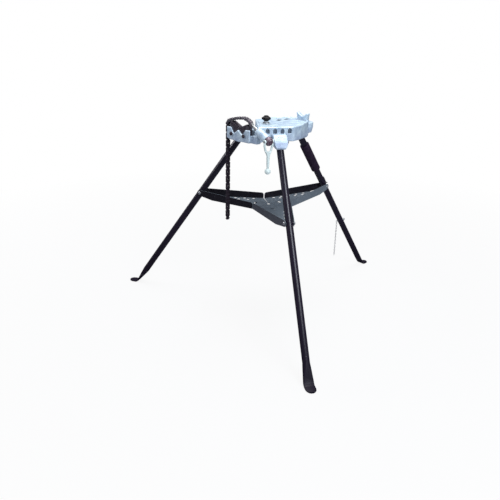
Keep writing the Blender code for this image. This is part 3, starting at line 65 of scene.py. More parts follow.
# %% Camera
CAMERA_PLACE = (-1.8046, -1.6411, 1.1890)
CAMERA_HEADING = math.radians(-42.43)
CAMERA_TIP_DOWN = math.radians(22.05)
CAMERA_ROLL = math.radians(1.26)
CAMERA_LENS = 39.64


def new_object(name, data):
    made = bpy.data.objects.new(name, data)
    bpy.context.scene.collection.objects.link(made)
    return made


camera = new_object("portrait_camera", bpy.data.cameras.new("portrait_camera"))
camera.data.sensor_width = 36
camera.data.lens = CAMERA_LENS
turn = Matrix.Rotation(CAMERA_HEADING, 4, "Z") @ Matrix.Rotation(math.pi / 2 - CAMERA_TIP_DOWN, 4, "X")
camera.matrix_world = Matrix.Translation(CAMERA_PLACE) @ turn @ Matrix.Rotation(CAMERA_ROLL, 4, "Z")
bpy.context.scene.camera = camera
print("camera at", CAMERA_PLACE)

# %% [markdown]
# ## Writing node trees as sums
#
# Materials and Geometry Nodes are both graphs, and wiring one by hand takes a line for every wire. So a
# small class wraps a socket and overloads the arithmetic signs: `1 - mask * 0.5` adds its two Math nodes.

# %% A socket that arithmetic can be written on
class Socket:
    def __init__(self, graph, socket):
        self.graph = graph
        self.socket = socket

    def maths(self, operation, *values):
        return self.graph.node("ShaderNodeMath", {"operation": operation}, dict(enumerate(values)))

    def __add__(self, other):
        return self.maths("ADD", self, other)

    def __sub__(self, other):
        return self.maths("SUBTRACT", self, other)

    def __rsub__(self, other):
        return self.maths("SUBTRACT", other, self)

    def __mul__(self, other):
        return self.maths("MULTIPLY", self, other)

    def __truediv__(self, other):
        return self.maths("DIVIDE", self, other)

    def __pow__(self, other):
        return self.maths("POWER", self, other)

    __radd__ = __add__
    __rmul__ = __mul__

    def clipped(self):
        return self.maths("MAXIMUM", self.maths("MINIMUM", self, 1.0), 0.0)

    def above(self, level, softness):
        """A mask that is 0 below the level and 1 above it, with an edge as wide as the softness."""
        return ((self - level) / softness + 0.5).clipped()

    def size(self):
        return self.maths("ABSOLUTE", self)

    def signed_power(self, power):
        """The power of a number's size, with the number's own sign."""
        return self.maths("SIGN", self) * self.size() ** power


print("arithmetic on sockets ready")

# %% [markdown]
# ### One way to add any node
#
# All kinds of node need the same: settings, values or links for their sockets, and the output that we want.
# `node` takes these as they are, so a new kind needs no new code.

# %% A graph of nodes
class Graph:
    def __init__(self, tree):
        self.tree = tree

    def node(self, kind, settings=None, inputs=None, out=0):
        """Adds a node, gives it its settings and then the values or links of its sockets."""
        made = self.tree.nodes.new(kind)
        for key, value in (settings or {}).items():
            setattr(made, key, value)
        for key, value in (inputs or {}).items():
            if isinstance(value, Socket):
                self.tree.links.new(value.socket, made.inputs[key])
            else:
                made.inputs[key].default_value = value
        return Socket(self, made.outputs[out]) if made.outputs else None

    def also(self, socket, out):
        """Another output of the node that a socket came from."""
        return Socket(self, socket.socket.node.outputs[out])

    def part(self, vector, axis):
        """One coordinate of a vector."""
        return self.node("ShaderNodeSeparateXYZ", None, {"Vector": vector}, axis)


print("graph ready")

# %% [markdown]
# ## Finishes
#
# No finish on a tool is one colour: enamel chips, castings are grainy, plating is cloudy. Pictures would
# need every piece unwrapped. Noise on Object coordinates has a real size and moves with its piece:
# noise(900) has about 900 grains to the metre.

# %% Patterns with a real size
class Patterns(Graph):
    def __init__(self, tree):
        super().__init__(tree)
        self.place = self.node("ShaderNodeTexCoord", out="Object")

    def noise(self, per_metre, detail=2.0, roughness=0.5):
        """Noise with so many grains to the metre. A count for each axis draws it out into streaks."""
        place = self.place
        if isinstance(per_metre, tuple):
            place = self.node("ShaderNodeMapping", None, {"Vector": place, "Scale": per_metre})
            per_metre = 1.0
        inputs = {"Vector": place, "Scale": per_metre, "Detail": detail, "Roughness": roughness}
        return self.node("ShaderNodeTexNoise", None, inputs, "Fac")

    def edges(self):
        """How sharply the surface turns: about a half on the flat, more on an outer edge."""
        return self.node("ShaderNodeNewGeometry", out="Pointiness")

    def height(self):
        return self.part(self.place, "Z")

    def inside(self, middle, turn, halves, softness):
        """A mask that is 1 inside a box, which stands at a place and is turned about Z."""
        inputs = {"Vector": self.place, "Location": middle, "Rotation": (0.0, 0.0, turn)}
        local = self.node("ShaderNodeMapping", {"vector_type": "TEXTURE"}, inputs)
        mask = 1.0
        for axis, half in zip("XYZ", halves):
            mask = (1 - self.part(local, axis).size().above(half, softness)) * mask
        return mask


print("patterns ready")

# %% [markdown]
# ### The material behind the patterns
#
# Every finish ends in one shader, Principled BSDF, which is enamel, steel or rubber by its numbers alone.
# `Finish` blends colours by the patterns' masks, and `wear` plugs the results in and enters the finish
# under its name.

# %% A material under construction
FINISHES = {}


class Finish(Patterns):
    def __init__(self, name, metallic=0.0, coat=0.0, coat_roughness=0.1, specular=0.5):
        self.name = name
        self.material = bpy.data.materials.new(name)
        self.material.use_nodes = True
        super().__init__(self.material.node_tree)
        self.shader = self.tree.nodes["Principled BSDF"]
        values = {"Metallic": metallic, "Coat Weight": coat, "Coat Roughness": coat_roughness}
        for key, value in {**values, "Specular IOR Level": specular}.items():
            self.shader.inputs[key].default_value = value

    def blend(self, mask, low, high):
        """One colour where the mask is 0 and the other where it is 1."""
        low, high = [side if isinstance(side, Socket) else (*side, 1.0) for side in (low, high)]
        return self.node("ShaderNodeMix", {"data_type": "RGBA"}, {0: mask, 6: low, 7: high}, 2)

    def bump(self, height, depth, strength):
        inputs = {"Height": height, "Distance": depth, "Strength": strength}
        return self.node("ShaderNodeBump", None, inputs)

    def wear(self, colour, roughness, normal, coat=None):
        given = {"Base Color": colour, "Roughness": roughness, "Normal": normal, "Coat Weight": coat}
        for key, value in given.items():
            if value is not None:
                self.tree.links.new(value.socket, self.shader.inputs[key])
        FINISHES[self.name] = self.material
        print(self.name, "with", len(self.tree.nodes), "nodes")


print("finish class ready")

# %% [markdown]
# ### Painted shade where the casting is sunk
#
# The recesses of the skirt and the slots of the deck are painted dark as shade. It could be painted by hand,
# but we know where each of them lies, so a mask that is 1 inside a box will do.

# %% Boxes of painted shade
TRIPOD_AXIS_X = -0.197985
FRONT_TURN = math.radians(-120)
SKIRT_FRAME = Matrix.Translation((TRIPOD_AXIS_X, 0, 0)) @ Matrix.Rotation(FRONT_TURN, 4, "Z")
RECESS_PITCH = 0.030
RECESS_MIDDLES = [(place - 0.5) * RECESS_PITCH for place in (-2, -1, 0, 1, 2)]
RECESS_HALF_WIDTH = 0.0095
RECESS_BOTTOM = 0.799
RECESS_TOP = 0.817
SKIRT_MIDDLE = 0.1060
SKIRT_DEPTH_HALF = 0.0066
SLOT_HALVES = (0.0165, 0.0085, 0.0070)
SLOT_HEIGHT = 0.8200
SLOTS = ((-0.0613, -0.0741, -30), (0.0792, 0.0383, 25), (0.1251, 0.0383, 5))
SHADE_EDGE = 0.0012


def recess_shade_mask(finish):
    """A mask of painted shade in the recesses in front and in the slots of the deck."""
    marks = 0.0
    height = (RECESS_BOTTOM + RECESS_TOP) / 2
    halves = (SKIRT_DEPTH_HALF, RECESS_HALF_WIDTH, (RECESS_TOP - RECESS_BOTTOM) / 2)
    for along in RECESS_MIDDLES:
        spot = SKIRT_FRAME @ Vector((SKIRT_MIDDLE, along, height))
        marks = finish.inside(spot, FRONT_TURN, halves, SHADE_EDGE) + marks
    for x, y, degrees in SLOTS:
        spot = (TRIPOD_AXIS_X + x, y, SLOT_HEIGHT)
        marks = finish.inside(spot, math.radians(degrees), SLOT_HALVES, SHADE_EDGE) + marks
    return marks.clipped()


print(len(RECESS_MIDDLES), "recesses and", len(SLOTS), "slots to darken")

# %% [markdown]
# ### The silver casting
#
# A sand casting under silver-blue enamel. Broad clouds of noise vary its tone, and fine grain and low lumps
# go into the bumps. Handled edges are paler. Shade is painted in as well: darker corners, which the surface's
# sharpness, called pointiness, tells us, a violet-grey lower casting, and dark recesses and slots.

# %% Cast silver
def cast_silver():
    finish = Finish("cast_silver", metallic=0.25, coat=0.2, coat_roughness=0.3)
    dark_blue, light_blue = (0.38, 0.49, 0.63), (0.66, 0.81, 0.90)
    violet_shade, handled = (0.42, 0.47, 0.66), (0.78, 0.88, 0.94)
    # The two darkest blues are painted shade, one for the corners and one for the recesses and slots
    corner_shade, deep_shade = (0.07, 0.085, 0.13), (0.045, 0.065, 0.100)
    recess_shade = recess_shade_mask(finish)
    clouds = finish.noise(34, 4, 0.6)
    grain = finish.noise(900, 3, 0.6)
    lumps = finish.noise(160, 2)
    sharp = finish.edges()
    rubbed = sharp.above(0.535, 0.05) * finish.noise(120, 3).above(0.42, 0.3)
    # Painted shade in the hollow corners, broken up by noise
    shaded_corners = (1 - sharp.above(0.475, 0.06)) * finish.noise(60, 3).above(0.35, 0.4)
    # Painted shade: the lower casting turns violet-grey
    low = 1 - finish.height().above(0.795, 0.035)
    base = finish.blend(clouds.above(0.5, 0.30), dark_blue, light_blue)
    base = finish.blend(low * 0.35, base, violet_shade)
    base = finish.blend(shaded_corners * 0.85, base, corner_shade)
    base = finish.blend(rubbed * 0.8, base, handled)
    # Painted shade: the recesses and slots are darkened almost to the deepest blue
    base = finish.blend(recess_shade * 0.88, base, deep_shade)
    rough = 0.40 + grain * 0.16 + shaded_corners * 0.2 + recess_shade * 0.2 - rubbed * 0.1
    skin = finish.bump(grain * 0.7 + lumps * 0.6, 0.0007, 0.55)
    finish.wear(base, rough, skin)


cast_silver()

# %% [markdown]
# ### Black enamel on the legs
#
# Gloss black with a hint of purple. Enamel runs level while it is wet, so its skin is a shallow ripple.
# Scratches run along the tube, the soles are rubbed to grey steel, and lower down dust has taken the gloss.

# %% Black enamel
def black_tube():
    finish = Finish("black_tube", coat_roughness=0.26, specular=0.2)
    dark, light = (0.0045, 0.0025, 0.0080), (0.012, 0.0065, 0.020)
    scratched, bare_steel = (0.08, 0.07, 0.11), (0.20, 0.19, 0.20)
    peel = finish.noise(230, 1)
    cloud = finish.noise(9, 2)
    scratch = finish.noise((420, 420, 26), 4, 0.7).above(0.665, 0.03)
    chips = finish.noise(70, 4, 0.65).above(0.735, 0.02)
    sole = 1 - finish.height().above(0.0012, 0.0012)
    glossy = finish.height().above(0.34, 0.50)
    scuffed = (sole * finish.noise(150, 4, 0.7).above(0.46, 0.12)).clipped()
    base = finish.blend(cloud, dark, light)
    base = finish.blend(scratch * 0.22, base, scratched)
    base = finish.blend((chips * 0.8 + scuffed * 0.85).clipped(), base, bare_steel)
    rough = 0.34 + scratch * 0.15 + chips * 0.25 + scuffed * 0.3 + (1 - glossy) * 0.15
    skin = finish.bump(peel - chips * 0.5, 0.0004, 0.35)
    finish.wear(base, rough, skin, coat=glossy * 0.95 + 0.05)


black_tube()

# %% [markdown]
# ### Slate enamel on the tray
#
# Thinner, satin paint on sheet steel. Dragged tools leave marks along and across it, which are noise drawn
# out along one axis. The flanges are painted in shade, so one function makes three tones: the lit slate, a
# shaded side and a near-black deep shade.

# %% Slate enamel
def slate(name, dark, light, drag_share):
    finish = Finish(name, metallic=0.1, coat=0.12, coat_roughness=0.3, specular=0.3)
    dragged, chipped = (0.26, 0.29, 0.32), (0.30, 0.31, 0.33)
    cloud = finish.noise(18, 3)
    drag = finish.noise((60, 900, 60), 3, 0.6).above(0.62, 0.05)
    cross = finish.noise((800, 50, 60), 3, 0.6).above(0.64, 0.05)
    chips = finish.noise(110, 4, 0.65).above(0.72, 0.02)
    base = finish.blend(cloud, dark, light)
    base = finish.blend((drag + cross).clipped() * drag_share, base, dragged)
    base = finish.blend(chips * 0.5, base, chipped)
    rough = 0.42 + cloud * 0.14 + (drag + cross) * 0.08
    finish.wear(base, rough, finish.bump(finish.noise(260, 2) - drag * 0.3, 0.0004, 0.3))


slate("tray_slate", (0.100, 0.125, 0.150), (0.165, 0.195, 0.225), 0.35)
# Two darker copies of the slate are painted shade: a shaded flange side and a near-black deep shade
slate("tray_side", (0.055, 0.058, 0.072), (0.085, 0.088, 0.105), 0.15)
slate("tray_inside", (0.004, 0.003, 0.006), (0.012, 0.009, 0.016), 0.05)

# %% [markdown]
# ### Steel: the jaw, the bolts, the chain and the hub
#
# Dark steel shows what it reflects, so its roughness does the work: oil smudges its shine, and its edges are
# rubbed bright. One function makes four steels. Where the chain bends over the jaw it is worn and also
# painted lighter as a highlight, and it is black with oil where it hangs.

# %% Dark steels
def oiled_steel(name, dark, light, shine, metal, rubbed):
    finish = Finish(name, metallic=metal)
    rubbed_steel = (0.42, 0.40, 0.42)
    cloud = finish.noise(45, 3)
    grain = finish.noise(700, 3, 0.6)
    smudge = finish.noise(140, 2).above(0.5, 0.2)
    edges = finish.edges().above(0.54, 0.06) * finish.noise(200, 2).above(0.4, 0.3)
    base = finish.blend(cloud, dark, light)
    base = finish.blend(edges * rubbed, base, rubbed_steel)
    rough = shine + grain * 0.14 + smudge * 0.10 - edges * 0.08
    finish.wear(base, rough, finish.bump(grain, 0.0003, 0.4))


oiled_steel("dark_steel", (0.020, 0.011, 0.023), (0.055, 0.033, 0.052), shine=0.40, metal=0.7, rubbed=0.3)
oiled_steel("oiled_chain", (0.006, 0.003, 0.008), (0.034, 0.018, 0.034), shine=0.48, metal=0.6, rubbed=0.10)
# Worn, and painted lighter as a highlight for the top of the chain's arc
oiled_steel("worn_chain", (0.030, 0.020, 0.034), (0.130, 0.105, 0.135), shine=0.34, metal=0.75, rubbed=0.7)
oiled_steel("hub_brown", (0.085, 0.038, 0.066), (0.150, 0.080, 0.115), shine=0.42, metal=0.4, rubbed=0.6)

# %% [markdown]
# ### Bright zinc and the pale handle
#
# Small hardware is zinc plated, bright and cloudy with a hint of straw. The crank's handle is a pale
# forging, dimpled by the hammer. Both are cloudy metal with fine bumps, so they share a function.

# %% Bright metals
def bright_metal(name, cool, warm, shine, dimples, metal):
    finish = Finish(name, metallic=metal)
    dulled = (0.30, 0.32, 0.33)
    cloud = finish.noise(90, 3)
    fine = finish.noise(1200, 2)
    dull = finish.noise(260, 3).above(0.55, 0.15)
    base = finish.blend(cloud, cool, warm)
    base = finish.blend(dull * 0.3, base, dulled)
    rough = shine + dull * 0.16 + fine * 0.08
    finish.wear(base, rough, finish.bump(finish.noise(dimples, 2) + fine * 0.3, 0.0004, 0.3))


bright_metal("bright_zinc", (0.60, 0.64, 0.68), (0.68, 0.66, 0.60), shine=0.30, dimples=500, metal=0.85)
bright_metal("pale_handle", (0.72, 0.86, 0.85), (0.82, 0.92, 0.89), shine=0.36, dimples=320, metal=0.1)

# %% [markdown]
# ### Rubber and moulded plastic
#
# The carrying grip is matt rubber, lightened by a bloom of dust, and the knob is moulded with a fine, even
# texture. Both are nearly black, and only the roughness tells them apart.

# %% Rubber and plastic
def soft_black(name, dark, light, shine, grains, bloom):
    finish = Finish(name, specular=0.2)
    dust = (0.09, 0.085, 0.09)
    cloud = finish.noise(35, 4, 0.6)
    texture = finish.noise(grains, 2)
    base = finish.blend(cloud, dark, light)
    base = finish.blend(finish.noise(80, 4).above(0.6, 0.2) * bloom, base, dust)
    rough = shine + texture * 0.15
    finish.wear(base, rough, finish.bump(texture, 0.0003, 0.35))


soft_black("grip_black", (0.012, 0.004, 0.016), (0.022, 0.009, 0.028), shine=0.55, grains=900, bloom=0.12)
soft_black("knob_black", (0.004, 0.003, 0.004), (0.009, 0.008, 0.009), shine=0.42, grains=1400, bloom=0.05)

# %% [markdown]
# ## Which finish goes where
#
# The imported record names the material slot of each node. Our finishes carry the same names, so every node
# gets its finish from the record, and nothing is listed twice.

# %% Paint the nodes
SLOT_OF = {part["node"]: part["material_slot"] for part in frame["record"]["subparts"]}
BODY_OF = {}
for body, members in frame["record"]["behaviour"]["bodies"].items():
    for member in members:
        BODY_OF[member] = body


def paint(thing, slot):
    thing.data.materials.clear()
    thing.data.materials.append(FINISHES[slot])


for name, node in nodes.items():
    paint(node, SLOT_OF[name])
print("painted", len(nodes), "nodes")

# %% [markdown]
# ## Softening the edges
#
# Real steel has no knife edges, and the thin bright line on a broken one makes it look like metal. A Bevel
# modifier can't round loose triangles, so each node is copied, its points merged and its flat faces joined.

# %% A merged copy of a node
SAME_PLACE = 1e-6


def closed(shape, name):
    """A mesh under construction, as an object."""
    mesh = bpy.data.meshes.new(name)
    shape.to_mesh(mesh)
    shape.free()
    return new_object(name, mesh)


def merged_copy(name, flat_degrees=1.0):
    """The node's mesh with its points merged and its coplanar triangles joined."""
    shape = bmesh.new()
    shape.from_mesh(nodes[name].data)
    shape.transform(nodes[name].matrix_world)
    bmesh.ops.remove_doubles(shape, verts=shape.verts, dist=SAME_PLACE)
    if flat_degrees:
        angle = math.radians(flat_degrees)
        bmesh.ops.dissolve_limit(shape, angle_limit=angle, verts=shape.verts, edges=shape.edges)
    return closed(shape, name + "_dressed")


def edit(made, change):
    """Lets a function change the piece's mesh by its points, edges and faces."""
    shape = bmesh.new()
    shape.from_mesh(made.data)
    change(shape)
    shape.to_mesh(made.data)
    shape.free()


print("copies ready")

# %% [markdown]
# ### The bevel, and the copy's place in the model
#
# A modifier only shows its result, and the model needs the result itself, so each one is applied. Then the
# copy takes the finish named by the node's material slot and rides on the node's body, and the node is
# hidden.

# %% A bevelled copy in the node's place
SHARP_DEGREES = 30
SMOOTH_DEGREES = 35


def settle(made):
    """Applies the piece's modifiers, so that a plain mesh is left."""
    graph = bpy.context.evaluated_depsgraph_get()
    result = bpy.data.meshes.new_from_object(made.evaluated_get(graph))
    made.modifiers.clear()
    made.data = result


def shade(made, degrees=SMOOTH_DEGREES):
    made.data.shade_smooth()
    made.data.set_sharp_from_angle(angle=math.radians(degrees))


def stand_in(made, name):
    """The piece takes the node's place: the finish named by its material slot, and its body. The node is
    hidden.
    """
    paint(made, SLOT_OF[name])
    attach(made, BODY_OF[name])
    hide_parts(name)


def soften(name, width, flat_degrees=1.0, change=None):
    """A copy with broken edges in the node's place. Its mesh may be changed before the bevel."""
    made = merged_copy(name, flat_degrees)
    if change:
        edit(made, change)
    bevel = made.modifiers.new("broken edges", "BEVEL")
    bevel.width = width
    bevel.segments = 2
    bevel.limit_method = "ANGLE"
    bevel.angle_limit = math.radians(SHARP_DEGREES)
    bevel.harden_normals = True
    shade(made)
    settle(made)
    stand_in(made, name)
    return made


print("bevelled copies ready")

# %% [markdown]
# ### The tray's holes
#
# The punch has drawn the rims of the holes down, so a hole looks wider than it is bored. A boolean could
# cut new ones, but the walls are there already: small upright faces joined into rings. We push the points
# of each ring away from its middle.

# %% Wider holes
HOLE_RADIUS = 0.005
HOLE_GROWTH = 0.0026
RADIUS_SLACK = 0.08
FEWEST_WALLS = 8
WALL_LEAN = 0.3
LARGEST_WALL = 1.2e-5


def joined_faces(faces):
    """Sorts faces into groups that hang together by their edges, in the same order each run."""
    waiting = dict.fromkeys(faces)
    while waiting:
        group, open_ends = [], [waiting.popitem()[0]]
        while open_ends:
            face = open_ends.pop()
            group.append(face)
            for edge in face.edges:
                for other in edge.link_faces:
                    if other in waiting:
                        del waiting[other]
                        open_ends.append(other)
        yield group


def widen_holes(shape):
    """Moves the walls of each round hole outwards."""
    upright = [face for face in shape.faces if abs(face.normal.z) < WALL_LEAN]
    widened = 0
    for group in joined_faces([face for face in upright if face.calc_area() < LARGEST_WALL]):
        corners = dict.fromkeys(vertex for face in group for vertex in face.verts)
        middle = sum((vertex.co for vertex in corners), Vector()) / len(corners)
        misses = [abs((vertex.co - middle).xy.length - HOLE_RADIUS) for vertex in corners]
        if len(group) < FEWEST_WALLS or max(misses) > HOLE_RADIUS * RADIUS_SLACK:
            continue
        for vertex in corners:
            away = (vertex.co - middle).xy.normalized() * HOLE_GROWTH
            vertex.co += Vector((away.x, away.y, 0))
        widened += 1
    print(widened, "holes widened")


print("holes grow by", round(HOLE_GROWTH * 2000, 1), "mm")

# %% [markdown]
# ### The tray's flanges
#
# The flanges are painted in shade: the inner faces near-black, the outer ones darker on the front leaf and
# near-black on the left leaf. They could be cut off as pieces, but a face can have its own material, and its
# normal says which way it looks: an inner one looks towards the leaf's middle line.

# %% Flanges in painted shade
# The front leaf's outer flanges are in painted shade, the left leaf's in near-black painted shade, and all
# inner faces in near-black painted shade
LEAVES = {"front": (-120, "tray_side"), "left": (120, "tray_inside"), "rear": (0, "tray_slate")}
LEAF_FLAT_DEGREES = 0.5
FLANGE_LEAN = 0.6
FLANGE_FACING = 0.5
HEM_WIDTH = 0.0003


def paint_flange_shade(made, turn, outside):
    """The flanges' outer faces get the given finish, which is a painted shade on two of the leaves, and their
    inner faces get a near-black painted shade.
    """
    made.data.materials.append(FINISHES[outside])
    made.data.materials.append(FINISHES["tray_inside"])
    along = Vector((math.cos(turn), math.sin(turn), 0))
    across = Vector((-along.y, along.x, 0))
    for face in made.data.polygons:
        if abs(face.normal.z) > FLANGE_LEAN or abs(face.normal.dot(across)) < FLANGE_FACING:
            continue
        aside = (face.center - Vector((TRIPOD_AXIS_X, 0, 0))).dot(across)
        inner = face.normal.dot(across) * aside < 0
        face.material_index = 2 if inner else 1


for leg, (degrees, outside) in LEAVES.items():
    leaf = soften(f"{leg}_leaf", HEM_WIDTH, LEAF_FLAT_DEGREES, widen_holes)
    paint_flange_shade(leaf, math.radians(degrees), outside)
    print(leaf.name, "with", len(leaf.data.polygons), "faces")

# %% [markdown]
# ### The small pieces
#
# The other bevels only differ in their width, so one table is enough. A big bolt's head is rounder than a
# thin pin's end, and pieces that come in threes are entered by a loop over the legs.

# %% Small pieces
EDGE_WIDTHS = {
    0.0002: ["eye_bolt"],
    0.0003: ["eye_nut"],
    0.0004: ["back_jaw_bolt", "front_jaw_bolt", "lock_rivet", "crank_pin_inner", "crank_pin_outer"],
    0.0005: ["vise_jaw", "tension_screw", "leg_lock"],
    0.0006: ["brace_collar", "tray_hinge"],
    0.0009: ["crank_hub"],
}
for leg in LEAVES:
    EDGE_WIDTHS[0.0006] += [f"{leg}_leg_bolt", f"{leg}_leg_nut"]
    EDGE_WIDTHS[0.0004] += [f"{leg}_leg", f"{leg}_tray_pin", f"{leg}_hinge_pin"]
    EDGE_WIDTHS[0.0004] += [f"{leg}_ear_rivet_a", f"{leg}_ear_rivet_b"]
for width, names in EDGE_WIDTHS.items():
    for name in names:
        soften(name, width)
print("softened", sum(len(names) for names in EDGE_WIDTHS.values()), "nodes")

# %% [markdown]
# ## Castings and forgings
#
# A mould rounds every join of two faces, and bevelling all of them needs clean edges. A voxel remesh only
# wraps the form in small squares, a little smoothing rounds it, and a decimation thins the faces out.

# %% Remesh what was poured or forged
ROUNDING_FORCE = 0.5
CAST_SMOOTH_DEGREES = 75


def recast(name, voxel, rounds, keep=1.0, additions=None, reshape=None):
    """A node as it comes out of a mould: rounds of smoothing soften it, and a share of its faces is kept."""
    made = merged_copy(name, 0)
    if additions:
        edit(made, additions)
    remesh = made.modifiers.new("skin", "REMESH")
    remesh.mode = "VOXEL"
    remesh.voxel_size = voxel
    smooth = made.modifiers.new("rounding", "SMOOTH")
    smooth.factor = ROUNDING_FORCE
    smooth.iterations = rounds
    if keep < 1:
        fewer = made.modifiers.new("fewer faces", "DECIMATE")
        fewer.ratio = keep
    settle(made)
    if reshape:
        for vertex in made.data.vertices:
            vertex.co = reshape(vertex.co)
    shade(made, CAST_SMOOTH_DEGREES)
    stand_in(made, name)
    print(name, len(made.data.polygons), "faces")


print("remesh ready")

# %% [markdown]
# ### Backs for the recesses
#
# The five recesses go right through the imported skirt, and the real ones have a back. It could be a plate
# behind each, but a thin block that is added before the remesh melts into the skirt.

# %% Backs for the recesses
SKIRT_INNER_FACE = 0.1078
RECESS_BACK = 0.0045


def close_recesses(shape):
    size = (RECESS_BACK, RECESS_HALF_WIDTH * 2, RECESS_TOP - RECESS_BOTTOM)
    for along in RECESS_MIDDLES:
        middle = Matrix.Translation((SKIRT_INNER_FACE, along, (RECESS_TOP + RECESS_BOTTOM) / 2))
        bmesh.ops.create_cube(shape, size=1.0, matrix=SKIRT_FRAME @ middle @ Matrix.Diagonal((*size, 1.0)))


print("backs", RECESS_BACK * 1000, "mm thick")

# %% [markdown]
# ### A frame for each leg
#
# Each leg stands at its own turn and splay. What sits on a leg is easiest to place in the leg's own frame,
# which starts on its pivot and takes its axis from the record's joint.

# %% Leg frames
JOINTS = {joint["name"]: joint for joint in frame["record"]["behaviour"]["joints"]}
LEG_SPLAY = {"front": 0.60999, "left": 0.60999, "rear": 0.62535}


def leg_frame(leg):
    """X runs in towards the stand's middle, Y across the leg, and Z down along it from the pivot."""
    joint = JOINTS[f"{leg}_leg_fold"]
    across = Vector(joint["axis"])
    outward = Vector((across.y, -across.x, 0))
    down = outward * math.sin(LEG_SPLAY[leg]) - Vector((0, 0, math.cos(LEG_SPLAY[leg])))
    side = across.cross(down)
    turn = Matrix((side, across, down)).transposed().to_4x4()
    return Matrix.Translation(joint["pos_m"]) @ turn


LEG_FRAMES = {leg: leg_frame(leg) for leg in LEG_SPLAY}
print("frames of", ", ".join(LEG_FRAMES))

# %% [markdown]
# ### The sockets of the legs
#
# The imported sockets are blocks, and the real ones are rounded off like cups. More smoothing would round the
# whole deck. So each point low on a cup moves in along a parabola, apart from the pads under the bolts, and
# what hangs under the rim is pushed up to it.

# %% The deck's casting
CUP_START = 0.7760
CUP_RIM = 0.7475
CUP_FLATNESS = 0.15
CUP_HALF_WIDTH = 0.0285
CUP_SIDE_LIMIT = CUP_HALF_WIDTH * 1.15
CUP_MOUTH_HALF_WIDTH = 0.0162
BOLT_PAD = 0.0125
CUP_DEPTH = 0.075
TUBE_ROOM = 0.0150
CUP_FRAMES = [(cup, cup.inverted()) for cup in LEG_FRAMES.values()]


def share_of(value, start, length):
    """How far a value has come from a start over a length, between 0 and 1."""
    return min(1.0, max(0.0, (value - start) / length))


def round_the_cups(point):
    share = share_of(CUP_START - point.z, 0.0, CUP_START - CUP_RIM)
    kept = 1 - share * share
    half = CUP_MOUTH_HALF_WIDTH + (CUP_HALF_WIDTH - CUP_MOUTH_HALF_WIDTH) * kept
    scale = (half - TUBE_ROOM) / (CUP_HALF_WIDTH - TUBE_ROOM)
    for out_of, into in CUP_FRAMES:
        inside = into @ point
        on_pad = math.hypot(inside.x, inside.z) < BOLT_PAD
        if abs(inside.x) < CUP_DEPTH and TUBE_ROOM < abs(inside.y) < CUP_SIDE_LIMIT and not on_pad:
            inside.y = math.copysign(TUBE_ROOM + (abs(inside.y) - TUBE_ROOM) * scale, inside.y)
            point = out_of @ inside
            break
    if point.z < CUP_RIM:
        point = Vector((point.x, point.y, CUP_RIM + (point.z - CUP_RIM) * CUP_FLATNESS))
    return point


CASTING_VOXEL = 0.0018
voxel = CASTING_VOXEL
recast("base_casting", voxel, rounds=4, keep=0.5, additions=close_recesses, reshape=round_the_cups)

# %% [markdown]
# ### The forged handle
#
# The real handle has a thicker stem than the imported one. Its fork and its ball are right already, so only
# the points between them move out from the middle line, with a soft start and end.

# %% The forged handle
HANDLE_VOXEL = 0.0009
STEM_TOP = 0.752
STEM_BOTTOM = 0.697
STEM_BLEND = 0.010
STEM_GROWTH = 0.32


def thicken_stem(point):
    swing = Vector(JOINTS["handle_swing"]["pos_m"])
    below_fork = share_of(STEM_TOP - point.z, 0.0, STEM_BLEND)
    above_ball = share_of(point.z, STEM_BOTTOM, STEM_BLEND)
    growth = 1 + STEM_GROWTH * below_fork * above_ball
    return Vector((swing.x + (point.x - swing.x) * growth, swing.y + (point.y - swing.y) * growth, point.z))


recast("crank_handle", HANDLE_VOXEL, rounds=5, reshape=thicken_stem)

# %% [markdown]
# ## Turned pieces
#
# A lathe makes round things from half of their outline. So does a Screw modifier, but it can't make finger
# grips. Ours takes pairs of radius and height, and a wobble: a factor on the radius that depends on the
# angle.

# %% A lathe
TURNED_SMOOTH_DEGREES = 40


def lathe(name, profile, place, sides, wobble=None):
    """A closed form turned about the place's Z axis. It is solid if its outline starts on the axis."""
    shape = bmesh.new()
    rings = []
    for radius, height in profile:
        if radius == 0:
            rings.append([shape.verts.new((0, 0, height))] * sides)
            continue
        ring = []
        for step in range(sides):
            angle = math.tau * step / sides
            reach = radius * (wobble(angle) if wobble else 1)
            ring.append(shape.verts.new((reach * math.cos(angle), reach * math.sin(angle), height)))
        rings.append(ring)
    if profile[0][0] > 0:
        rings.append(rings[0])
    for lower, upper in zip(rings, rings[1:]):
        for step in range(sides):
            after = (step + 1) % sides
            corners = [lower[step], lower[after], upper[after], upper[step]]
            shape.faces.new(list(dict.fromkeys(corners)))
    bmesh.ops.recalc_face_normals(shape, faces=shape.faces)
    shape.transform(place)
    made = closed(shape, name)
    shade(made, TURNED_SMOOTH_DEGREES)
    return made


def axis_frame(joint_name):
    """A frame at a joint, with Z along its axis."""
    joint = JOINTS[joint_name]
    turn = Vector(joint["axis"]).to_track_quat("Z", "Y").to_matrix().to_4x4()
    return Matrix.Translation(joint["pos_m"]) @ turn


def in_millimetres(*pairs):
    return [(radius / 1000, height / 1000) for radius, height in pairs]


print("lathe ready")

# %% [markdown]
# ### The knob and the hub's cap
#
# The knob has eight finger grips and is widest at its middle. The cap closes the outer end of the crank's
# hub. Both are turned about their joint's own axis, so that they can't wobble when they go round.

# %% Knob and cap
KNOB_GRIPS = 8
KNOB_GRIP_DEPTH = 0.045
KNOB_SIDES = KNOB_GRIPS * 8
CAP_SIDES = 40


def finger_grips(angle):
    return 1 - KNOB_GRIP_DEPTH * (0.5 - 0.5 * math.cos(angle * KNOB_GRIPS)) ** 2


